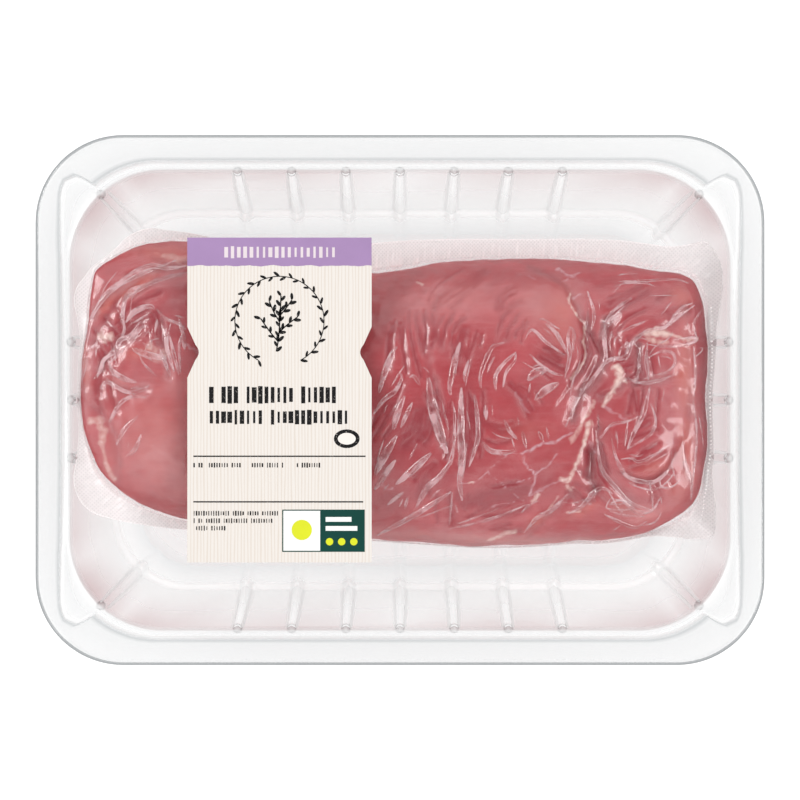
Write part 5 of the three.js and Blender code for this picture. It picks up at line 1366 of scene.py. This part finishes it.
def sprig_tree():
    """Sets leaves in turn on the left and right of each line, and runs a stem along it."""
    tree, given, output = node_tree("leaves_along_lines", Lines="Object", Spacing="Float", Long="Float",
                                    Wide="Float", Spread="Float", Stem="Float", Seed="Int", Finish="Material")
    lines = add_node(tree, "GeometryNodeObjectInfo", {"Object": given["Lines"]}).outputs["Geometry"]
    spots = add_node(tree, "GeometryNodeCurveToPoints", {0: lines, "Length": given["Spacing"]}, mode="LENGTH")
    oval = add_node(tree, "GeometryNodeMeshCircle", {"Vertices": 12, "Radius": 1.0}, fill_type="NGON")
    size = add_node(tree, "ShaderNodeCombineXYZ", {0: given["Long"], 1: given["Wide"], 2: 1.0}).outputs[0]
    start = add_node(tree, "ShaderNodeCombineXYZ", {0: given["Long"]}).outputs[0]
    leaf = add_node(tree, "GeometryNodeTransform", {0: oval.outputs[0], "Translation": start, "Scale": size})
    heading = add_node(tree, "FunctionNodeAlignRotationToVector", {"Vector": spots.outputs["Tangent"]},
                       axis="X", pivot_axis="Z")
    number = add_node(tree, "GeometryNodeInputIndex").outputs[0]
    side = add_node(tree, "ShaderNodeMath", {0: number, 1: 2.0}, operation="MODULO").outputs[0]
    sign = add_node(tree, "ShaderNodeMath", {0: side, 1: 2.0, 2: -1.0}, operation="MULTIPLY_ADD").outputs[0]
    angle = add_node(tree, "ShaderNodeMath", {0: sign, 1: given["Spread"]}, operation="MULTIPLY").outputs[0]
    turn = add_node(tree, "FunctionNodeEulerToRotation",
                    {0: add_node(tree, "ShaderNodeCombineXYZ", {2: angle}).outputs[0]})
    turned = add_node(tree, "FunctionNodeRotateRotation", {0: heading.outputs[0], 1: turn.outputs[0]},
                      rotation_space="LOCAL")
    grown = add_node(tree, "FunctionNodeRandomValue", {2: 0.8, 3: 1.1, "Seed": given["Seed"]}, data_type="FLOAT")
    leaves = add_node(tree, "GeometryNodeInstanceOnPoints", {
        0: spots.outputs[0], "Instance": leaf.outputs[0], "Rotation": turned.outputs[0],
        "Scale": grown.outputs[1]})
    level = add_node(tree, "GeometryNodeSetCurveNormal", {0: lines}, mode="Z_UP")
    bar = add_node(tree, "GeometryNodeCurvePrimitiveLine", {"Start": (-1, 0, 0), "End": (1, 0, 0)})
    stem = add_node(tree, "GeometryNodeCurveToMesh", {
        0: level.outputs[0], 1: bar.outputs[0], "Scale": given["Stem"]})
    joined = add_node(tree, "GeometryNodeJoinGeometry")
    tree.links.new(leaves.outputs[0], joined.inputs[0])
    tree.links.new(stem.outputs[0], joined.inputs[0])
    solid = add_node(tree, "GeometryNodeRealizeInstances", {0: joined.outputs[0]})
    done = add_node(tree, "GeometryNodeSetMaterial", {0: solid.outputs[0], "Material": given["Finish"]})
    tree.links.new(done.outputs[0], output.inputs[0])
    return tree


def face_up(piece):
    """Turns a flat piece's faces up where they look down."""
    work = bmesh.new()
    work.from_mesh(piece.data)
    bmesh.ops.reverse_faces(work, faces=[face for face in work.faces if face.normal.z < 0])
    work.to_mesh(piece.data)
    work.free()


def row(low_x, high_x, low_y, high_y):
    """A row for ticks: its line, and half its height."""
    middle = (low_y + high_y) / 2
    return np.array([(low_x, middle), ((low_x + high_x) / 2, middle), (high_x, middle)]), (high_y - low_y) / 2


PRINT_TOP = LABEL_HIGH[2] + INK_THICKNESS
TITLE_ROWS = [row(-48.2, -16.9, -1.1, 3.7), row(-48.2, -13.8, -6.3, -2.5)]
SMALL_ROWS = [
    row(-52.6, -40.9, -17.3, -16), row(-37.7, -29.4, -17.3, -16), row(-26.2, -20.6, -17.3, -16),
    row(-52.6, -31.3, -29.6, -28.3), row(-52.6, -32.8, -31.5, -30.2), row(-52.6, -44.8, -33.4, -32.1),
]
BAND_ROW = [row(-44.4, -17, 36.2, 39.3)]
for name, rows_of, pitch, wide, gaps, material, layer in (
        ("label_title_ticks", TITLE_ROWS, 1.5, 0.95, 0.06, black_ink, 0),
        ("label_small_ticks", SMALL_ROWS, 0.62, 0.32, 0.12, black_ink, 0),
        ("label_band_ticks", BAND_ROW, 1.55, 0.8, 0, ink("pale_ink", "#D6CACF"), 1)):
    lines = line_object(name + "_lines", rows_of, PRINT_TOP + layer * INK_THICKNESS, even=True)
    ticks = grow(name, "label_paper", tick_tree(), Lines=lines, Pitch=pitch * MM, Width=wide * MM, Gaps=gaps,
                 Seed=3, Finish=material)
    bpy.data.objects.remove(lines)
    face_up(ticks)
    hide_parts("label")

turns = np.radians(np.linspace(-62, 242, 60))
ring = np.array(WREATH_CENTRE) + WREATH_RADIUS * np.stack([np.cos(turns), np.sin(turns)], axis=1)
stalk = smooth_line([(-31.6, 12.4), (-31, 16), (-30.7, 20.5), (-30.4, 26.6)], 0.6)
twigs = [smooth_line(line, 0.5) for line in (
    [(-31.2, 15), (-33.2, 17.4), (-35.6, 20.8)], [(-31, 17.2), (-28.6, 19.4), (-26.2, 21.2)],
    [(-30.8, 20), (-32.2, 22.4), (-33.4, 25.2)], [(-30.6, 21.6), (-29, 23.6), (-27.6, 25.6)])]
for name, paths, spacing, long, wide, stem in (
        ("label_wreath", [(ring, 1)], 1.65, 0.95, 0.36, 0.12),
        ("label_sprig", [(path, 1) for path in (stalk, *twigs)], 1.25, 0.95, 0.42, 0.16)):
    lines = line_object(name + "_lines", paths, PRINT_TOP, even=True)
    sprig = grow(name, "label_paper", sprig_tree(), Lines=lines, Spacing=spacing * MM, Long=long * MM,
                 Wide=wide * MM, Spread=math.radians(38), Stem=stem * MM, Seed=4, Finish=black_ink)
    bpy.data.objects.remove(lines)
    face_up(sprig)
    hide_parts("label")


# Studio
# A plain pale floor that glows as a light table does, an even bright surround that dims overhead, and two
# broad soft lamps.

floor_mesh = bpy.data.meshes.new("floor")
floor_mesh.from_pydata([(-3, -3, 0), (3, -3, 0), (3, 3, 0), (-3, 3, 0)], [], [(0, 1, 2, 3)])
floor = bpy.data.objects.new("floor", floor_mesh)
bpy.context.scene.collection.objects.link(floor)
floor_material, tree, output = new_material("floor_paint")
paint_shader = add_node(tree, "ShaderNodeBsdfPrincipled", {
    "Base Color": (0.24, 0.24, 0.24, 1), "Roughness": 0.8, "Emission Color": (1, 1, 1, 1),
    "Emission Strength": 0.92})
tree.links.new(paint_shader.outputs[0], output.inputs["Surface"])
floor_mesh.materials.append(floor_material)

world = bpy.data.worlds.new("studio")
bpy.context.scene.world = world
world.use_nodes = True
world.node_tree.nodes.clear()
way = add_node(world.node_tree, "ShaderNodeTexCoord").outputs["Generated"]
up = add_node(world.node_tree, "ShaderNodeSeparateXYZ", {0: way}).outputs["Z"]
ramp = add_node(world.node_tree, "ShaderNodeValToRGB", {0: up})
stops = [(0.0, 0.65), (0.3, 1.1), (0.5, 1.28), (0.8, 1.28), (0.93, 0.55), (1.0, 0.25)]
elements = ramp.color_ramp.elements
while len(elements) < len(stops):
    elements.new(0.5)
for element, (position, level) in zip(elements, stops):
    element.position = position
    element.color = (level, level, level, 1)
glow = add_node(world.node_tree, "ShaderNodeBackground", {"Color": ramp.outputs[0], "Strength": 1.0})
add_node(world.node_tree, "ShaderNodeOutputWorld", {"Surface": glow.outputs[0]})


def soft_lamp(name, place, size, power):
    """A square softbox at a place in metres that faces the middle of the pack."""
    lamp = bpy.data.lights.new(name, "AREA")
    lamp.size = size
    lamp.energy = power
    holder = bpy.data.objects.new(name, lamp)
    holder.location = place
    holder.rotation_euler = (-Vector(place)).to_track_quat("-Z", "Y").to_euler()
    bpy.context.scene.collection.objects.link(holder)


soft_lamp("left_softbox", (-0.75, 0.35, 0.75), 0.42, 3.6)
soft_lamp("right_softbox", (0.8, -0.2, 0.7), 0.42, 2.6)

CAMERA_HEIGHT = 0.440
CAMERA_ANGLE = 28.7
camera = bpy.data.cameras.new("camera")
camera.angle = math.radians(CAMERA_ANGLE)
camera.clip_start = 0.01
holder = bpy.data.objects.new("camera", camera)
holder.location = (0, 0, CAMERA_HEIGHT)
bpy.context.scene.collection.objects.link(holder)
bpy.context.scene.camera = holder
bpy.context.scene.view_settings.view_transform = "Standard"
